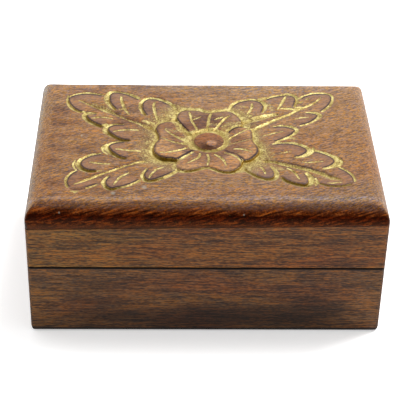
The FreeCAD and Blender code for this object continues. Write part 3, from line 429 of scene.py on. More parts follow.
def build_panel():
    """Lid top: flat field with the carving, quarter-round edges, short upright sides, closed underneath."""
    arc = np.radians(np.linspace(90, 0, 11))

    def axis(half, f0, f1, step):
        out_lo = -half + ROUND * (1 - np.sin(arc))
        fine = np.linspace(f0, f1, int(round((f1 - f0) / step)) + 1)
        lo = np.linspace(-half + ROUND, f0, 4)[1:-1]
        hi = np.linspace(f1, half - ROUND, 4)[1:-1]
        return np.concatenate([out_lo, lo, fine, hi, -out_lo[::-1]])

    xs, ys = axis(HX, -63.4, 63.2, 0.37), axis(HY, -40.8, 42.2, 0.36)
    nx, ny = len(xs), len(ys)
    X, Y = np.meshgrid(xs, ys)
    x, y = X.ravel().copy(), Y.ravel().copy()

    # a hand-sanded edge: the quarter-round starts a little further in or out along its length
    def drop(u, half, along, seed):
        r = ROUND + 0.35 * lattice_noise(along, along * 0 + 3.1, 17.0, seed)
        e = np.clip((np.abs(u) - (half - r)) / r, 0, 1)
        return r * (1 - np.sqrt(np.clip(1 - e * e, 0, 1)))

    dx = drop(x, HX, y, 3)
    dy = np.where(y < 0, drop(y, HY, x, 4), drop(y, HY, x, 8))
    dx *= ROUND / np.maximum(dx.max(), 1e-6)
    k = 0.7
    h = np.clip(0.5 + 0.5 * (dx - dy) / k, 0, 1)
    fall = dy * (1 - h) + dx * h + k * h * (1 - h) * 0.5 * (np.minimum(dx, dy) > 0.02)
    flank = smooth(0.3, 0.7, h) * (dx > 0.02)
    fall = np.minimum(fall, ROUND)
    rim = (np.abs(x) > HX - 1e-6) | (np.abs(y) > HY - 1e-6)
    fall[rim] = ROUND
    depth, masks = carve(x, y)
    field = smooth(0.35, 0.0, fall)
    z = HZ - fall - depth * field
    z += -0.05 * (1 + lattice_noise(x, y, 24.0, 21)) * smooth(0.0, 0.2, HZ - fall - 57.2) * 0.8
    # upright corners in plan
    u, v = (np.abs(x) - (HX - PLAN_R)) / PLAN_R, (np.abs(y) - (HY - PLAN_R)) / PLAN_R
    c = (u > 0) & (v > 0)
    f = np.ones(len(x))
    f[c] = np.maximum(u[c], v[c]) / np.hypot(u[c], v[c])
    x = np.where(c, np.sign(x) * (HX - PLAN_R + u * f * PLAN_R), x)
    y = np.where(c, np.sign(y) * (HY - PLAN_R + v * f * PLAN_R), y)

    gy, gx = np.gradient(z.reshape(ny, nx), ys, xs)
    # mask for the painted shade on the walls of the cuts, by slope
    steep_shade = smooth(0.35, 1.15, np.hypot(gx, gy)).ravel() * field
    verts = np.stack([x, y, z], 1)
    idx = np.arange(nx * ny).reshape(ny, nx)
    quads = np.stack([idx[:-1, :-1], idx[:-1, 1:], idx[1:, 1:], idx[1:, :-1]], -1).reshape(-1, 4)
    faces = quads.tolist()
    flags = [True] * len(faces)
    # rim loop, counter-clockwise seen from above
    loop = np.concatenate([idx[0, :-1], idx[:-1, -1], idx[-1, :0:-1], idx[:0:-1, 0]])
    m = len(loop)
    low = verts[loop].copy()
    arris = 0.25
    inward = low[:, :2] * np.array([1 - arris / HX, 1 - arris / HY])
    side = low.copy(); side[:, 2] = seam_z(low[:, 0]) + arris
    foot = low.copy(); foot[:, :2] = inward; foot[:, 2] = seam_z(inward[:, 0])
    base = len(verts)
    verts = np.vstack([verts, side, foot, [[0, 0, seam_z(0)]]])
    centre = len(verts) - 1
    for i in range(m):
        j = (i + 1) % m
        a, b = base + i, base + j
        faces.append([loop[i], a, b, loop[j]]); flags.append(True)
        faces.append([a, a + m, b + m, b]); flags.append(False)
        faces.append([a + m, centre, b + m]); flags.append(False)
    faces = [[int(q) for q in f] for f in faces]
    ob = new_object("lid_top_carved", verts, faces, flags)
    me = ob.data
    pad = np.zeros(len(verts) - nx * ny)
    masks["cut"] = depth
    # the walls' painted shade, cleared where the lit mask lies
    masks["steep_shade"] = steep_shade * (1 - masks.pop("lit"))
    for key, vals in masks.items():
        set_attr(me, key, np.concatenate([vals * field, pad]))
    set_attr(me, "flank", np.concatenate([flank, flank[loop], flank[loop], [0.0]]))
    # clean bake map: the top and its rounded sides laid out flat, the underside below them
    def unroll(vals, half):
        t = np.where(np.abs(vals) > half - ROUND, np.sign(vals) * (half - ROUND + ROUND * np.arcsin(np.clip((np.abs(vals) - (half - ROUND)) / ROUND, 0, 1))), vals)
        return t
    su, sv = unroll(X.ravel(), HX), unroll(Y.ravel(), HY)
    lu, lv = su[loop], sv[loop]
    grow = lambda t, q: t + np.sign(t) * q
    outx, outy = su.max(), sv.max()
    def pushed(q):
        return np.where(np.abs(lu) > outx - 1e-6, grow(lu, q), lu), np.where(np.abs(lv) > outy - 1e-6, grow(lv, q), lv)
    a_u, a_v = pushed(3.2)
    b_u, b_v = pushed(3.7)
    fu = np.concatenate([su, a_u, b_u, [0.0]])
    fv = np.concatenate([sv, a_v, b_v, [0.0]])
    span_u, span_v = 2 * (outx + 4.5), 2 * (outy + 4.5)
    top_uv = np.stack([fu / span_u + 0.5, (fv / span_v + 0.5) * 0.76 + 0.235], 1)
    under_uv = np.stack([verts[:, 0] / (2 * HX) * 0.33 + 0.18, verts[:, 1] / (2 * HY) * 0.22 + 0.115], 1)
    uv = me.uv_layers.new(name="OFBake")
    loops = np.zeros(len(me.loops), np.int32)
    me.loops.foreach_get("vertex_index", loops)
    start = np.zeros(len(me.polygons), np.int32); count = np.zeros(len(me.polygons), np.int32)
    me.polygons.foreach_get("loop_start", start); me.polygons.foreach_get("loop_total", count)
    under = np.zeros(len(me.loops), bool)
    for s_, c_ in zip(start[count == 3], count[count == 3]):
        under[s_:s_ + c_] = True
    coords = np.where(under[:, None], under_uv[loops], top_uv[loops])
    uv.data.foreach_set("uv", coords.astype(np.float32).ravel())
    return ob


# ================================================================ materials
def lin(r, g, b, k=1.0):
    f = lambda c: (c / 12.92 if c <= 0.04045 else ((c + 0.055) / 1.055) ** 2.4)
    return tuple(min(0.95, f(c / 255.0) * k) for c in (r, g, b)) + (1.0,)


class Tree:
    def __init__(self, name):
        self.mat = bpy.data.materials.new(name)
        self.mat.use_nodes = True
        self.nt = self.mat.node_tree
        self.nt.nodes.clear()
        self.out = self.add("ShaderNodeOutputMaterial")
        self.bsdf = self.add("ShaderNodeBsdfPrincipled")
        self.nt.links.new(self.bsdf.outputs["BSDF"], self.out.inputs["Surface"])

    def add(self, kind, ins=None, **props):
        n = self.nt.nodes.new(kind)
        for k, v in props.items():
            setattr(n, k, v)
        for k, v in (ins or {}).items():
            self.put(v, n.inputs[k])
        return n

    def put(self, v, socket):
        if isinstance(v, bpy.types.NodeSocket):
            self.nt.links.new(v, socket)
        else:
            socket.default_value = v

    def m(self, op, a, b=0.0, c=None, clamp=False):
        n = self.add("ShaderNodeMath", operation=op, use_clamp=clamp)
        self.put(a, n.inputs[0]); self.put(b, n.inputs[1])
        if c is not None:
            self.put(c, n.inputs[2])
        return n.outputs[0]

    def span(self, v, a, b, c=0.0, d=1.0, kind="SMOOTHSTEP"):
        n = self.add("ShaderNodeMapRange", interpolation_type=kind)
        for k, q in zip(("Value", "From Min", "From Max", "To Min", "To Max"), (v, a, b, c, d)):
            self.put(q, n.inputs[k])
        return n.outputs[0]

    def mix(self, f, a, b, blend="MIX"):
        n = self.add("ShaderNodeMix", data_type="RGBA", blend_type=blend)
        self.put(f, n.inputs[0]); self.put(a, n.inputs[6]); self.put(b, n.inputs[7])
        return n.outputs[2]

    def vec(self, op, a, b=None, scale=None):
        n = self.add("ShaderNodeVectorMath", operation=op)
        self.put(a, n.inputs[0])
        if b is not None:
            self.put(b, n.inputs[1])
        if scale is not None:
            self.put(scale, n.inputs["Scale"])
        return n.outputs[0]

    def mapping(self, v, loc=(0, 0, 0), rot=(0, 0, 0), scale=(1, 1, 1)):
        n = self.add("ShaderNodeMapping", {"Vector": v, "Location": loc, "Rotation": rot, "Scale": scale})
        return n.outputs[0]

    def noise(self, v, scale=1.0, detail=2.0, rough=0.5, distort=0.0, colour=False):
        n = self.add("ShaderNodeTexNoise", {"Vector": v, "Scale": scale, "Detail": detail, "Roughness": rough, "Distortion": distort})
        return n.outputs["Color" if colour else "Fac"]

    def attr(self, name):
        return self.add("ShaderNodeAttribute", attribute_name=name).outputs["Fac"]

    def ramp(self, f, stops):
        n = self.add("ShaderNodeValToRGB", {"Fac": f})
        el = n.color_ramp.elements
        while len(el) < len(stops):
            el.new(0.5)
        for e, (p, c) in zip(el, stops):
            e.position, e.color = p, c
        return n.outputs["Color"]

    def mm(self):
        """Place in the object's own frame, in millimetres."""
        c = self.add("ShaderNodeTexCoord")
        return self.vec("SCALE", c.outputs["Object"], scale=1000.0)

    def bump(self, height, strength, dist_mm, normal=None):
        ins = {"Height": height, "Strength": strength, "Distance": dist_mm * MM}
        n = self.add("ShaderNodeBump", ins)
        if normal is not None:
            self.put(normal, n.inputs["Normal"])
        return n.outputs[0]


GRAIN = {"X": (0, 0, 0), "Y": (0, 0, math.radians(90)), "Z": (0, math.radians(90), 0)}


def wood_layers(t, grain, seed, slant=0.0, warp=0.35, long=(0.07, 1.9), fine=(0.16, 3.2), flecks=(0.55, 3.4), bands=(0.02, 0.35), cloud=(0.016, 0.05), weights=(0.30, 0.28, 0.34, 0.08), bend=0.0):
    """Shared parts of every board: place along the grain, long streaks, fine fibres, short flecks, bands and clouds."""
    p = t.mm()
    g = p
    if bend:
        s = t.add("ShaderNodeSeparateXYZ", {"Vector": p})
        lift = t.m("MULTIPLY", t.m("MULTIPLY", s.outputs[0], t.m("ABSOLUTE", s.outputs[0])), -bend)
        g = t.vec("ADD", p, t.add("ShaderNodeCombineXYZ", {"Y": lift}).outputs[0])
    g = t.mapping(g, loc=(seed * 37.1, seed * 11.3, seed * 23.9), rot=GRAIN[grain])
    g = t.mapping(g, rot=(0, math.radians(-slant), math.radians(slant)))
    wv = t.noise(t.mapping(g, scale=(0.03, 0.07, 0.07)), 1.0, 2.0, 0.5, colour=True)
    wv = t.vec("SUBTRACT", wv, (0.5, 0.5, 0.5))
    wv = t.vec("MULTIPLY", wv, (0.0, warp * 5.0, warp * 5.0))
    g = t.vec("ADD", g, wv)
    lay = lambda v, s, d=1.0, r=0.5: t.noise(t.mapping(v, scale=(s[0], s[1], s[1])), 1.0, d, r)
    w = {"p": p, "g": g, "long": lay(g, long), "fine": lay(g, fine), "flecks": lay(g, flecks), "bands": lay(g, bands, 2.0), "cloud": lay(g, cloud, 2.0)}
    g2 = t.vec("ADD", g, (211.0, 97.0, 53.0))
    w["hue"] = lay(g2, (fine[0], fine[1] * 0.7), 2.0, 0.6)
    w["streak"] = lay(g2, (long[0] * 2.0, long[1] * 1.7), 1.0)
    f = t.m("MULTIPLY_ADD", w["long"], weights[0], t.m("MULTIPLY_ADD", w["fine"], weights[1], t.m("MULTIPLY_ADD", w["flecks"], weights[2], t.m("MULTIPLY", w["bands"], weights[3]))))
    w["tone"] = f
    return w


def vary_hue(t, w, col, cool=(0.88, 1.0, 1.42, 1.0), warm=(1.12, 0.98, 0.52, 1.0)):
    """Orange and greyish-mauve fibres side by side at the same depth of tone."""
    grit = t.noise(w["p"], 2.1, 1.0, 0.5)
    f = t.m("MULTIPLY_ADD", w["hue"], 0.62, t.m("MULTIPLY", grit, 0.38))
    tint = t.mix(t.span(f, 0.40, 0.60, kind="LINEAR"), cool, warm)
    return t.mix(1.0, col, tint, "MULTIPLY")


def blots(t, w, col, spots, loosen=(14.0, 0.0, 5.0)):
    """Stains of the wood: centre x, z, half sizes, strength and the colour they multiply by."""
    n = t.noise(t.mapping(w["p"], scale=(0.07, 0.1, 0.35)), 1.0, 3.0, 0.6, colour=True)
    q = t.vec("ADD", w["p"], t.vec("MULTIPLY", t.vec("SUBTRACT", n, (0.5, 0.5, 0.5)), loosen))
    for cx, cz, rx, rz, k, tint in spots:
        d = t.vec("MULTIPLY", t.vec("SUBTRACT", q, (cx, 0.0, cz)), (1.0 / rx, 0.0, 1.0 / rz))
        v = t.add("ShaderNodeVectorMath", operation="LENGTH")
        t.put(d, v.inputs[0])
        col = t.mix(t.span(v.outputs["Value"], 1.25, 0.2, 0.0, k), col, t.mix(1.0, col, tint, "MULTIPLY"))
    return col


def joint_dirt_and_shade(t, w, col, spots, tone):
    """Dirt and painted shade along the joints and the bottom edge: height in mm, how far it reaches and how far it is
    full.
    """
    x, y, z = (axis_of(t, w["p"], k) for k in range(3))
    outside = t.m("MAXIMUM", t.span(t.m("ABSOLUTE", x), HX - 0.8, HX - 0.3), t.span(t.m("ABSOLUTE", y), HY - 0.8, HY - 0.3))
    for at, reach, full in spots:
        d = t.m("ABSOLUTE", t.m("SUBTRACT", z, at))
        col = t.mix(t.m("MULTIPLY", t.span(d, reach, full, 0.0, 0.97), outside), col, tone)
    return col


def board(name, grain, seed, dark, mid, light, pore, rough=(0.46, 0.62), slant=0.4, cloud_tint=None, shade=None, spec=0.18, joints=(), pore_mix=0.65, **layers):
    t = Tree(name)
    w = wood_layers(t, grain, seed, slant, **layers)
    col = vary_hue(t, w, t.ramp(w["tone"], [(0.42, dark), (0.495, mid), (0.57, light)]), (0.80, 1.0, 1.74, 1.0), (1.2, 0.965, 0.28, 1.0))
    if cloud_tint is not None:
        col = t.mix(t.span(w["cloud"], 0.40, 0.62), col, t.mix(1.0, col, cloud_tint, "MULTIPLY"))
    pores = t.span(w["streak"], 0.61, 0.70)
    col = t.mix(t.m("MULTIPLY", pores, pore_mix), col, pore)
    if shade is not None:
        col = shade(t, w, col)
    # dirt and painted shade along the joints and the bottom edge
    if joints:
        col = joint_dirt_and_shade(t, w, col, joints, lin(12, 7, 5))
    t.put(col, t.bsdf.inputs["Base Color"])
    t.put(t.span(w["tone"], 0.4, 0.6, rough[1], rough[0], "LINEAR"), t.bsdf.inputs["Roughness"])
    t.bsdf.inputs["Specular IOR Level"].default_value = spec
    h = t.m("SUBTRACT", t.m("MULTIPLY", w["tone"], 1.2), t.m("MULTIPLY", pores, 0.6))
    t.put(t.bump(h, 0.3, 0.10), t.bsdf.inputs["Normal"])
    return t.mat


def axis_of(t, p, k):
    s = t.add("ShaderNodeSeparateXYZ", {"Vector": p})
    return s.outputs[k]


K_LID, K_BASE = 0.685, 0.605
wood_lid = dict(dark=lin(64, 41, 25, K_LID), mid=lin(107, 69, 31, K_LID), light=lin(155, 99, 38, K_LID), pore=lin(46, 34, 32, K_LID))
wood_base = dict(dark=lin(60, 41, 28, K_BASE), mid=lin(99, 66, 36, K_BASE), light=lin(144, 94, 43, K_BASE), pore=lin(43, 33, 32, K_BASE))
RED = (1.08, 0.90, 0.82, 1.0)
LID_J = ((33.8, 0.42, 0.3),)
BASE_J = ((34.2, 1.05, 0.72), (0.0, 2.1, 1.4))
INK = (0.385, 0.335, 0.315, 1.0)
DUSK = (0.62, 0.58, 0.60, 1.0)
OCHRE = (1.18, 1.22, 1.08, 1.0)
FLAME = (1.5, 1.42, 1.25, 1.0)


def corners(t, w, col):
    """Painted shade: a dark line along the upright corners."""
    x = t.m("ABSOLUTE", axis_of(t, w["p"], 0))
    return t.mix(t.span(x, 74.0, 74.7, 0.0, 0.85), col, lin(34, 20, 11))


def lid_shade(t, w, col):
    col = corners(t, w, col)
    x = axis_of(t, w["p"], 0)
    col = t.mix(t.span(x, -60, 10, 0.0, 0.6), col, t.mix(1.0, col, (0.97, 0.83, 0.71, 1.0), "MULTIPLY"))
    col = t.mix(t.span(x, 0, -55), col, t.mix(1.0, col, (0.93, 1.04, 0.9, 1.0), "MULTIPLY"))
    z = axis_of(t, w["p"], 2)
    col = t.mix(t.span(z, 35.3, 34.6, 0.0, 0.8), col, t.mix(1.0, col, (1.3, 1.4, 1.3, 1.0), "MULTIPLY"))
    return blots(t, w, col, [
        (-52, 40.5, 22, 5, 0.8, OCHRE), (-69.6, 45, 2.6, 1.6, 0.8, DUSK), (-25, 53, 34, 2.2, 0.7, DUSK), (57, 47, 11, 4.5, 0.7, DUSK), (60, 36.8, 24, 1.8, 0.8, INK),
        (10, 41, 40, 3, 0.5, OCHRE), (-68, 54, 10, 1.8, 0.6, DUSK)])


def base_shade(t, w, col):
    """Darker in the lower middle of the board, paler towards the ends."""
    col = blots(t, w, col, [
        (-20, 3.5, 60, 7, 0.55, DUSK), (-44, 25, 15, 3.6, 0.6, INK), (-46, 16, 18, 3.4, 0.6, INK), (-40, 9, 24, 5, 0.75, INK), (-6, 6.5, 32, 6.5, 0.92, INK), (20, 9, 28, 6, 0.75, INK),
        (46, 12, 22, 7.5, 0.9, INK), (38, 5, 30, 5, 0.7, INK), (44, 22, 14, 6, 0.5, DUSK), (6, 25, 36, 6, 0.8, (1.2, 1.04, 0.9, 1.0)), (2, 11.5, 26, 4.5, 0.65, INK), (66, 15, 9, 11, 0.78, FLAME), (-71.5, 14, 8, 14, 0.9, OCHRE)])
    return corners(t, w, col)


m_lid_front = board("wood_lid_front", "X", 1, cloud_tint=RED, shade=lid_shade, joints=LID_J, **wood_lid)
m_lid_back = board("wood_lid_back", "X", 2, cloud_tint=RED, joints=LID_J, **wood_lid)
m_lid_left = board("wood_lid_left", "Y", 3, cloud_tint=RED, joints=LID_J, **wood_lid)
m_lid_right = board("wood_lid_right", "Y", 4, cloud_tint=RED, joints=LID_J, **wood_lid)
m_base_front = board("wood_base_front", "X", 5, cloud_tint=RED, shade=base_shade, joints=BASE_J, **wood_base)
m_base_back = board("wood_base_back", "X", 6, cloud_tint=RED, joints=BASE_J, **wood_base)
m_base_left = board("wood_base_left", "Y", 7, cloud_tint=RED, joints=BASE_J, **wood_base)
m_base_right = board("wood_base_right", "Y", 8, cloud_tint=RED, joints=BASE_J, **wood_base)
m_bottom = board("wood_bottom", "X", 9, dark=lin(150, 110, 72), mid=lin(178, 138, 94), light=lin(200, 164, 118), pore=lin(120, 84, 52), rough=(0.62, 0.78), spec=0.15)


def panel_material():
    t = Tree("wood_carved_top")
    w = wood_layers(t, "X", 11, slant=1.0, warp=0.6, long=(0.2, 1.5), fine=(0.6, 2.4), flecks=(1.1, 3.0), bands=(0.05, 0.3), weights=(0.30, 0.34, 0.30, 0.06), bend=0.0036)
    K = 0.495
    col = vary_hue(t, w, t.ramp(w["tone"], [(0.42, lin(119, 91, 74, K)), (0.495, lin(160, 122, 88, K)), (0.57, lin(205, 152, 100, K))]), (0.82, 1.0, 1.62, 1.0), (1.18, 0.985, 0.36, 1.0))
    col = t.mix(t.span(w["cloud"], 0.42, 0.62, 0.0, 0.8), col, t.mix(1.0, col, (1.05, 0.93, 0.84, 1.0), "MULTIPLY"))
    pores = t.span(w["streak"], 0.62, 0.70)
    col = t.mix(t.m("MULTIPLY", pores, 0.36), col, lin(98, 80, 76, K))
    leaf, gold, grime_and_shade, cut, steep_shade, calm, painted_shade, boss_highlight, button_sheen, petal, flank = (t.attr(n) for n in ("leaf", "gold", "grime_and_shade", "cut", "steep_shade", "calm", "painted_shade", "boss_highlight", "button_sheen", "petal", "flank"))
    place = t.add("ShaderNodeSeparateXYZ", {"Vector": w["p"]})
    # painted reflection: paler and bluer towards the back and along the back edge; a little darker towards the right
    # and the front right; smoother where the chisel went
    col = t.mix(t.span(place.outputs[1], -15, 50), col, t.mix(1.0, col, (1.12, 1.2, 1.26, 1.0), "MULTIPLY"))
    col = t.mix(t.span(place.outputs[0], 25, 66), col, t.mix(1.0, col, (0.96, 0.94, 0.95, 1.0), "MULTIPLY"))
    front_right = t.m("MULTIPLY", t.span(place.outputs[0], -30, 20), t.span(place.outputs[1], -20, -38))
    col = t.mix(front_right, col, t.mix(1.0, col, (0.89, 0.94, 1.06, 1.0), "MULTIPLY"))
    col = t.mix(t.span(place.outputs[1], 34, 47), col, t.mix(1.0, col, (1.06, 1.18, 1.4, 1.0), "MULTIPLY"))
    col = t.mix(t.m("MULTIPLY", calm, 0.4), col, lin(177, 130, 104, K))
    col = t.mix(petal, col, t.mix(1.0, col, (1.36, 1.41, 1.31, 1.0), "MULTIPLY"))
    # painted highlight: the boss's back slope paler and oranger
    col = t.mix(boss_highlight, col, t.mix(1.0, col, (1.62, 1.36, 0.98, 1.0), "MULTIPLY"))
    # painted sheen: the button paler and greyer
    col = t.mix(button_sheen, col, t.mix(1.0, col, (1.5, 1.55, 1.75, 1.0), "MULTIPLY"))
    # inside the leaves the stain is greyer and pinker
    col = t.mix(t.m("MULTIPLY", leaf, t.span(w["flecks"], 0.35, 0.6, 0.45, 0.95)), col, t.mix(1.0, col, (0.77, 0.85, 1.06, 1.0), "MULTIPLY"))
    # dirt and painted shade: dark line along the rims of leaflets and petals
    col = t.mix(t.m("MULTIPLY", grime_and_shade, 0.95), col, lin(52, 48, 58, K))
    # painted shade under front edges, on the button's front and in the boss's shadow
    col = t.mix(t.m("MULTIPLY", painted_shade, 0.92), col, t.mix(1.0, col, (0.32, 0.23, 0.14, 1.0), "MULTIPLY"))
    # painted shade: the deepest cuts darkened
    col = t.mix(t.span(cut, 1.3, 2.0, 0.0, 0.4), col, t.mix(1.0, col, (0.55, 0.45, 0.4, 1.0), "MULTIPLY"))
    # painted shade: the wood on the walls of the cuts darkened
    col = t.mix(t.m("MULTIPLY", steep_shade, t.span(cut, 0.15, 0.5, 0.0, 0.85)), col, t.mix(1.0, col, (0.34, 0.27, 0.2, 1.0), "MULTIPLY"))
    # rounded edges: end of the flat field in deep red-brown
    s = t.add("ShaderNodeSeparateXYZ", {"Vector": w["p"]})
    wander = t.noise(t.mapping(w["p"], scale=(0.05, 0.12, 0.3)), 1.0, 2.0, 0.5)
    zz = t.m("ADD", s.outputs[2], t.m("MULTIPLY", t.m("SUBTRACT", wander, 0.5), 1.7))
    zz = t.m("MULTIPLY_ADD", s.outputs[0], 0.004, zz)
    brow = t.m("SUBTRACT", 1.0, flank)
    edge = t.m("MULTIPLY_ADD", t.span(zz, 63.7, 61.5), brow, t.m("MULTIPLY", t.span(zz, 60.8, 58.6, 0.0, 0.9), flank))
    dusk = t.m("MULTIPLY", t.span(zz, 64.5, 63.8), brow)
    # painted reflection: the left flank of the lid paler and greyer
    flank_sheen = t.m("MULTIPLY", t.span(s.outputs[0], -70.6, -74.3), flank)
    col = t.mix(flank_sheen, col, t.mix(1.0, col, (1.16, 1.5, 1.95, 1.0), "MULTIPLY"))
    # front arris pale where the flat ends: wear, and a painted highlight that is broader on the right half
    worn_and_highlight = t.m("MULTIPLY", t.span(s.outputs[1], -43.4, -44.8), t.span(s.outputs[1], -46.6, -45.5))
    right_highlight = t.m("MULTIPLY", t.m("MULTIPLY", t.span(s.outputs[1], -41.6, -44.4), t.span(s.outputs[1], -46.2, -45.2)), t.span(s.outputs[0], -6, 30))
    worn_and_highlight = t.m("MAXIMUM", t.m("MULTIPLY", worn_and_highlight, 0.7), right_highlight)
    col = t.mix(t.m("MULTIPLY", worn_and_highlight, t.span(w["flecks"], 0.38, 0.55, 0.6, 1.0)), col, t.mix(1.0, col, (1.06, 1.34, 1.95, 1.0), "MULTIPLY"))
    col = t.mix(t.m("MULTIPLY", dusk, 0.85), col, t.mix(1.0, col, (0.45, 0.385, 0.45, 1.0), "MULTIPLY"))
    deep = t.mapping(w["p"], rot=(0, math.radians(12), math.radians(-12)))
    streak = t.noise(t.mapping(deep, scale=(0.085, 1.1, 1.1)), 1.0, 4.0, 0.7)
    streak = t.m("MULTIPLY_ADD", streak, 0.76, t.m("MULTIPLY", t.noise(w["p"], 1.3, 2.0, 0.6), 0.24))
    dcol = t.ramp(streak, [(0.38, lin(20, 3, 0, 0.9)), (0.5, lin(74, 30, 9, 0.92)), (0.62, lin(143, 76, 30, 0.96))])
    dcol = vary_hue(t, w, dcol, (0.84, 1.0, 1.6, 1.0), (1.14, 0.98, 0.4, 1.0))
    deepest = t.m("MULTIPLY", t.span(zz, 61.2, 60.2), t.span(s.outputs[2], 57.0, 58.4))
    dcol = t.mix(deepest, dcol, t.mix(1.0, dcol, (0.40, 0.2, 0.07, 1.0), "MULTIPLY"))
    low = t.span(s.outputs[2], 58.2, 57.0)
    dcol = t.mix(low, dcol, t.mix(1.0, dcol, (0.58, 0.45, 0.22, 1.0), "MULTIPLY"))
    low = t.span(s.outputs[2], 57.2, 55.0, 0.0, 0.5)
    dcol = t.mix(low, dcol, lin(64, 33, 7, 0.9))
    # painted shadow: a dark spot at the front left end of the panel's side, just above the seam
    notch_shadow = t.m("MULTIPLY", t.m("MULTIPLY", t.span(s.outputs[0], -73.7, -74.5), t.span(s.outputs[2], 57.6, 56.6)), t.span(s.outputs[1], -50.6, -51.6))
    dcol = t.mix(notch_shadow, dcol, lin(20, 12, 8))
    col = t.mix(edge, col, dcol)
    for px, py, pz, rx, ry in DUST:
        v = t.add("ShaderNodeVectorMath", operation="LENGTH")
        t.put(t.vec("MULTIPLY", t.vec("SUBTRACT", w["p"], (px, py, pz)), (1.0 / rx, 1.0 / ry, 1.0 / ry)), v.inputs[0])
        col = t.mix(t.span(v.outputs["Value"], 1.1, 0.2, 0.0, 0.6), col, lin(182, 178, 164, 0.5))
    # gold paint left in the cuts, wiped thin at its margins
    speck = t.noise(w["p"], 1.5, 3.0, 0.65)
    blot = t.noise(w["p"], 0.4, 2.0, 0.5)
    amount = t.m("ADD", gold, t.m("MULTIPLY", t.m("SUBTRACT", speck, 0.5), 1.9))
    amount = t.span(amount, 0.34, 0.64)
    soft = t.span(gold, 0.08, 0.75, 0.0, 0.8)
    amount = t.m("MULTIPLY_ADD", amount, 0.64, t.m("MULTIPLY", soft, 0.36))
    amount = t.m("MINIMUM", t.m("MULTIPLY", amount, 1.12), 1.0)
    gcol = t.ramp(t.m("MULTIPLY_ADD", blot, 0.5, t.m("MULTIPLY", speck, 0.5)), [(0.36, lin(124, 103, 54, 0.6)), (0.5, lin(202, 182, 112, 0.585)), (0.62, lin(240, 226, 152, 0.67))])
    gcol = t.mix(t.span(gold, 0.85, 0.42, 0.0, 0.6), gcol, lin(176, 153, 94, 0.6))
    # painted shade: gold darker in the deeper cuts
    gcol = t.mix(t.span(cut, 0.6, 1.6, 0.0, 0.4), gcol, lin(150, 120, 40, 0.62))
    # painted shade: gold on the walls of the cuts darker and olive
    gcol = t.mix(t.m("MULTIPLY", steep_shade, 0.92), gcol, lin(148, 108, 12, 0.55))
    # painted shade: gold turned dark olive in the same places
    gcol = t.mix(t.m("MULTIPLY", painted_shade, 0.85), gcol, lin(104, 78, 9, 0.42))
    col = t.mix(amount, col, gcol)
    t.put(col, t.bsdf.inputs["Base Color"])
    r = t.span(w["tone"], 0.4, 0.6, 0.52, 0.40, "LINEAR")
    r = t.m("MULTIPLY_ADD", dusk, -0.10, r)
    r = t.m("MULTIPLY_ADD", amount, 0.04, r)
    t.put(r, t.bsdf.inputs["Roughness"])
    t.put(t.m("MULTIPLY", amount, 0.2), t.bsdf.inputs["Metallic"])
    t.bsdf.inputs["Specular IOR Level"].default_value = 0.08
    t.bsdf.inputs["Specular Tint"].default_value = (1.0, 0.55, 0.3, 1.0)
    h = t.m("SUBTRACT", t.m("MULTIPLY", w["tone"], 1.0), t.m("MULTIPLY", pores, 0.5))
    h = t.m("ADD", h, t.m("MULTIPLY", t.m("MULTIPLY", speck, amount), 0.6))
    t.put(t.bump(h, 0.35, 0.12), t.bsdf.inputs["Normal"])
    return t.mat


def brass_material():
    t = Tree("brass")
    p = t.mm()
    a = t.noise(p, 0.9, 4.0, 0.6)
    b = t.noise(t.mapping(p, scale=(0.25, 4.0, 4.0)), 1.0, 3.0, 0.6)
    col = t.ramp(a, [(0.32, lin(120, 88, 44)), (0.5, lin(186, 148, 78)), (0.68, lin(214, 180, 106))])
    t.put(col, t.bsdf.inputs["Base Color"])
    t.bsdf.inputs["Metallic"].default_value = 1.0
    t.put(t.span(t.m("MULTIPLY_ADD", a, 0.6, t.m("MULTIPLY", b, 0.4)), 0.3, 0.7, 0.46, 0.26, "LINEAR"), t.bsdf.inputs["Roughness"])
    t.put(t.bump(b, 0.2, 0.05), t.bsdf.inputs["Normal"])
    return t.mat


def steel_material():
    t = Tree("dull_steel")
    p = t.mm()
    a = t.noise(p, 1.6, 4.0, 0.6)
    t.put(t.ramp(a, [(0.35, lin(52, 42, 36)), (0.6, lin(104, 94, 86))]), t.bsdf.inputs["Base Color"])
    t.bsdf.inputs["Metallic"].default_value = 0.9
    t.put(t.span(a, 0.3, 0.7, 0.62, 0.4, "LINEAR"), t.bsdf.inputs["Roughness"])
    t.put(t.bump(a, 0.25, 0.05), t.bsdf.inputs["Normal"])
    return t.mat


def felt_material():
    t = Tree("felt")
    p = t.mm()
    a = t.noise(p, 2.6, 5.0, 0.7, 0.6)
    b = t.noise(p, 0.06, 3.0, 0.5)
    col = t.ramp(t.m("MULTIPLY_ADD", a, 0.75, t.m("MULTIPLY", b, 0.25)), [(0.36, lin(56, 9, 12)), (0.5, lin(84, 16, 19)), (0.64, lin(114, 29, 30))])
    t.put(col, t.bsdf.inputs["Base Color"])
    t.put(t.span(a, 0.3, 0.7, 0.96, 0.84, "LINEAR"), t.bsdf.inputs["Roughness"])
    t.bsdf.inputs["Specular IOR Level"].default_value = 0.1
    t.bsdf.inputs["Sheen Weight"].default_value = 0.18
    t.bsdf.inputs["Sheen Roughness"].default_value = 0.5
    t.put(t.bump(a, 0.6, 0.25), t.bsdf.inputs["Normal"])
    return t.mat


# ================================================================== dressing
def dress(node, mat):
    me = nodes[node].data
    me.materials.clear()
    me.materials.append(mat)


m_brass, m_steel, m_felt = brass_material(), steel_material(), felt_material()
for n, mat in {
    "lid_front_rail": m_lid_front, "lid_back_rail": m_lid_back, "lid_left_rail": m_lid_left, "lid_right_rail": m_lid_right,
    "base_front_wall": m_base_front, "base_back_wall": m_base_back, "base_left_wall": m_base_left, "base_right_wall": m_base_right,
    "base_bottom_panel": m_bottom, "lid_corner_brads": m_steel, "base_corner_brads": m_steel, "bottom_panel_brads": m_steel,
}.items():
    dress(n, mat)
for n in nodes:
    if n.startswith("hinge_"):
        dress(n, m_brass)

panel = build_panel()
panel.data.materials.append(panel_material())
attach(panel, "lid")
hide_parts("lid_top_panel")


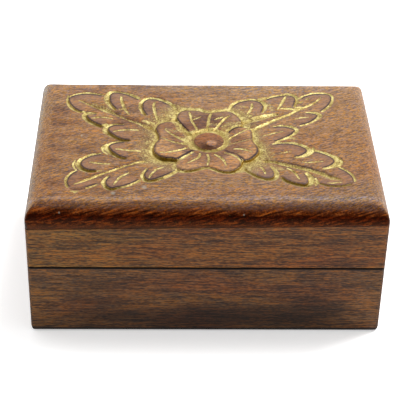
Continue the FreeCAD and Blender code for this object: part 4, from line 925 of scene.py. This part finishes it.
def build_lining():
    """Felt on the floor: a thin sheet with soft cut edges and a slightly uneven nap."""
    lo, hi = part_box("base_lining")
    x0, y0, z0 = (c / MM for c in lo)
    x1, y1, z1 = (c / MM for c in hi)
    nx, ny = 90, 60
    u = np.linspace(0, 1, nx + 1); v = np.linspace(0, 1, ny + 1)
    X, Y = np.meshgrid(x0 + (x1 - x0) * u, y0 + (y1 - y0) * v)
    x, y = X.ravel(), Y.ravel()
    edge = np.minimum.reduce([x - x0, x1 - x, y - y0, y1 - y])
    z = z1 - 0.12 + 0.06 * lattice_noise(x, y, 9.0, 31) + 0.05 * lattice_noise(x, y, 3.1, 32) - 0.35 * (1 - smooth(0.0, 1.6, edge))
    top = np.stack([x, y, z], 1)
    idx = np.arange((nx + 1) * (ny + 1)).reshape(ny + 1, nx + 1)
    faces = np.stack([idx[:-1, :-1], idx[:-1, 1:], idx[1:, 1:], idx[1:, :-1]], -1).reshape(-1, 4).tolist()
    under = top.copy(); under[:, 2] = z0 + 0.02
    n = len(top)
    faces += (np.stack([idx[:-1, :-1], idx[1:, :-1], idx[1:, 1:], idx[:-1, 1:]], -1).reshape(-1, 4) + n).tolist()
    loop = np.concatenate([idx[0, :-1], idx[:-1, -1], idx[-1, :0:-1], idx[:0:-1, 0]])
    for i in range(len(loop)):
        a, b = int(loop[i]), int(loop[(i + 1) % len(loop)])
        faces.append([a, a + n, b + n, b])
    return new_object("floor_felt", np.vstack([top, under]), faces, [True] * len(faces)), (x1 - x0) * MM, (y1 - y0) * MM


lining, fw, fl = build_lining()
lining.data.materials.append(m_felt)
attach(lining, "base")
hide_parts("base_lining")

# ===================================================================== stage
def floor_material():
    t = Tree("floor")
    a = t.noise(t.mm(), 0.004, 2.0, 0.5)
    t.put(t.ramp(a, [(0.3, (0.92, 0.92, 0.92, 1)), (0.7, (0.94, 0.94, 0.94, 1))]), t.bsdf.inputs["Base Color"])
    t.bsdf.inputs["Roughness"].default_value = 0.9
    t.bsdf.inputs["Specular IOR Level"].default_value = 0.1
    t.bsdf.inputs["Emission Color"].default_value = (1, 1, 1, 1)
    t.bsdf.inputs["Emission Strength"].default_value = 0.36
    return t.mat


R = 6000.0
floor = new_object("floor", [(-R, -R, 0), (R, -R, 0), (R, R, 0), (-R, R, 0)], [[0, 1, 2, 3]])
floor.data.materials.append(floor_material())

# camera at the photograph's viewpoint
CAM = (-16.8804, -512.8392, 389.965)
AZ, EL, ROLL, FPX = -2.0796, 35.2076, 1.4685, 1390.141
a, e, r = math.radians(AZ), math.radians(EL), math.radians(ROLL)
back = Vector((math.sin(a) * math.cos(e), -math.cos(a) * math.cos(e), math.sin(e)))
right = (-back).cross(Vector((0, 0, 1))).normalized()
up = right.cross(-back)
right, up = math.cos(r) * right + math.sin(r) * up, -math.sin(r) * right + math.cos(r) * up
cam_data = bpy.data.cameras.new("camera")
cam_data.sensor_fit = "HORIZONTAL"
cam_data.sensor_width = 36.0
cam_data.lens = FPX * 36.0 / 416.0
cam_data.clip_start, cam_data.clip_end = 0.01, 50.0
cam = bpy.data.objects.new("camera", cam_data)
rot = Matrix((right, up, back)).transposed().to_4x4()
cam.matrix_world = Matrix.Translation(Vector(CAM) * MM) @ rot
scene.collection.objects.link(cam)
scene.camera = cam


def area(name, loc, target, size, power, size_y=None):
    d = bpy.data.lights.new(name, "AREA")
    d.shape = "RECTANGLE"
    d.size, d.size_y, d.energy = size, size_y or size, power
    o = bpy.data.objects.new(name, d)
    o.location = Vector(loc)
    o.rotation_mode = "QUATERNION"
    o.rotation_quaternion = (Vector(target) - Vector(loc)).to_track_quat("-Z", "Y")
    scene.collection.objects.link(o)
    return o


area("key", (1.15, 0.95, 2.5), (0, 0, 0.05), 1.2, 104.0)

world = bpy.data.worlds.new("studio")
scene.world = world
world.use_nodes = True
wt = world.node_tree
wt.nodes.clear()
w_out = wt.nodes.new("ShaderNodeOutputWorld")
w_bg = wt.nodes.new("ShaderNodeBackground")
w_co = wt.nodes.new("ShaderNodeTexCoord")
w_sep = wt.nodes.new("ShaderNodeSeparateXYZ")
w_map = wt.nodes.new("ShaderNodeMapRange")
w_map.interpolation_type = "SMOOTHSTEP"
for k, v in (("From Min", -0.75), ("From Max", 0.1), ("To Min", 0.22), ("To Max", 1.22)):
    w_map.inputs[k].default_value = v
wt.links.new(w_co.outputs["Generated"], w_sep.inputs[0])
wt.links.new(w_sep.outputs[1], w_map.inputs["Value"])
wt.links.new(w_map.outputs[0], w_bg.inputs["Strength"])
w_bg.inputs["Color"].default_value = (1, 1, 1, 1)
wt.links.new(w_bg.outputs[0], w_out.inputs[0])

scene.view_settings.view_transform = "Standard"
scene.view_settings.look = "None"
scene.view_settings.exposure = 0.0
scene.view_settings.gamma = 1.0
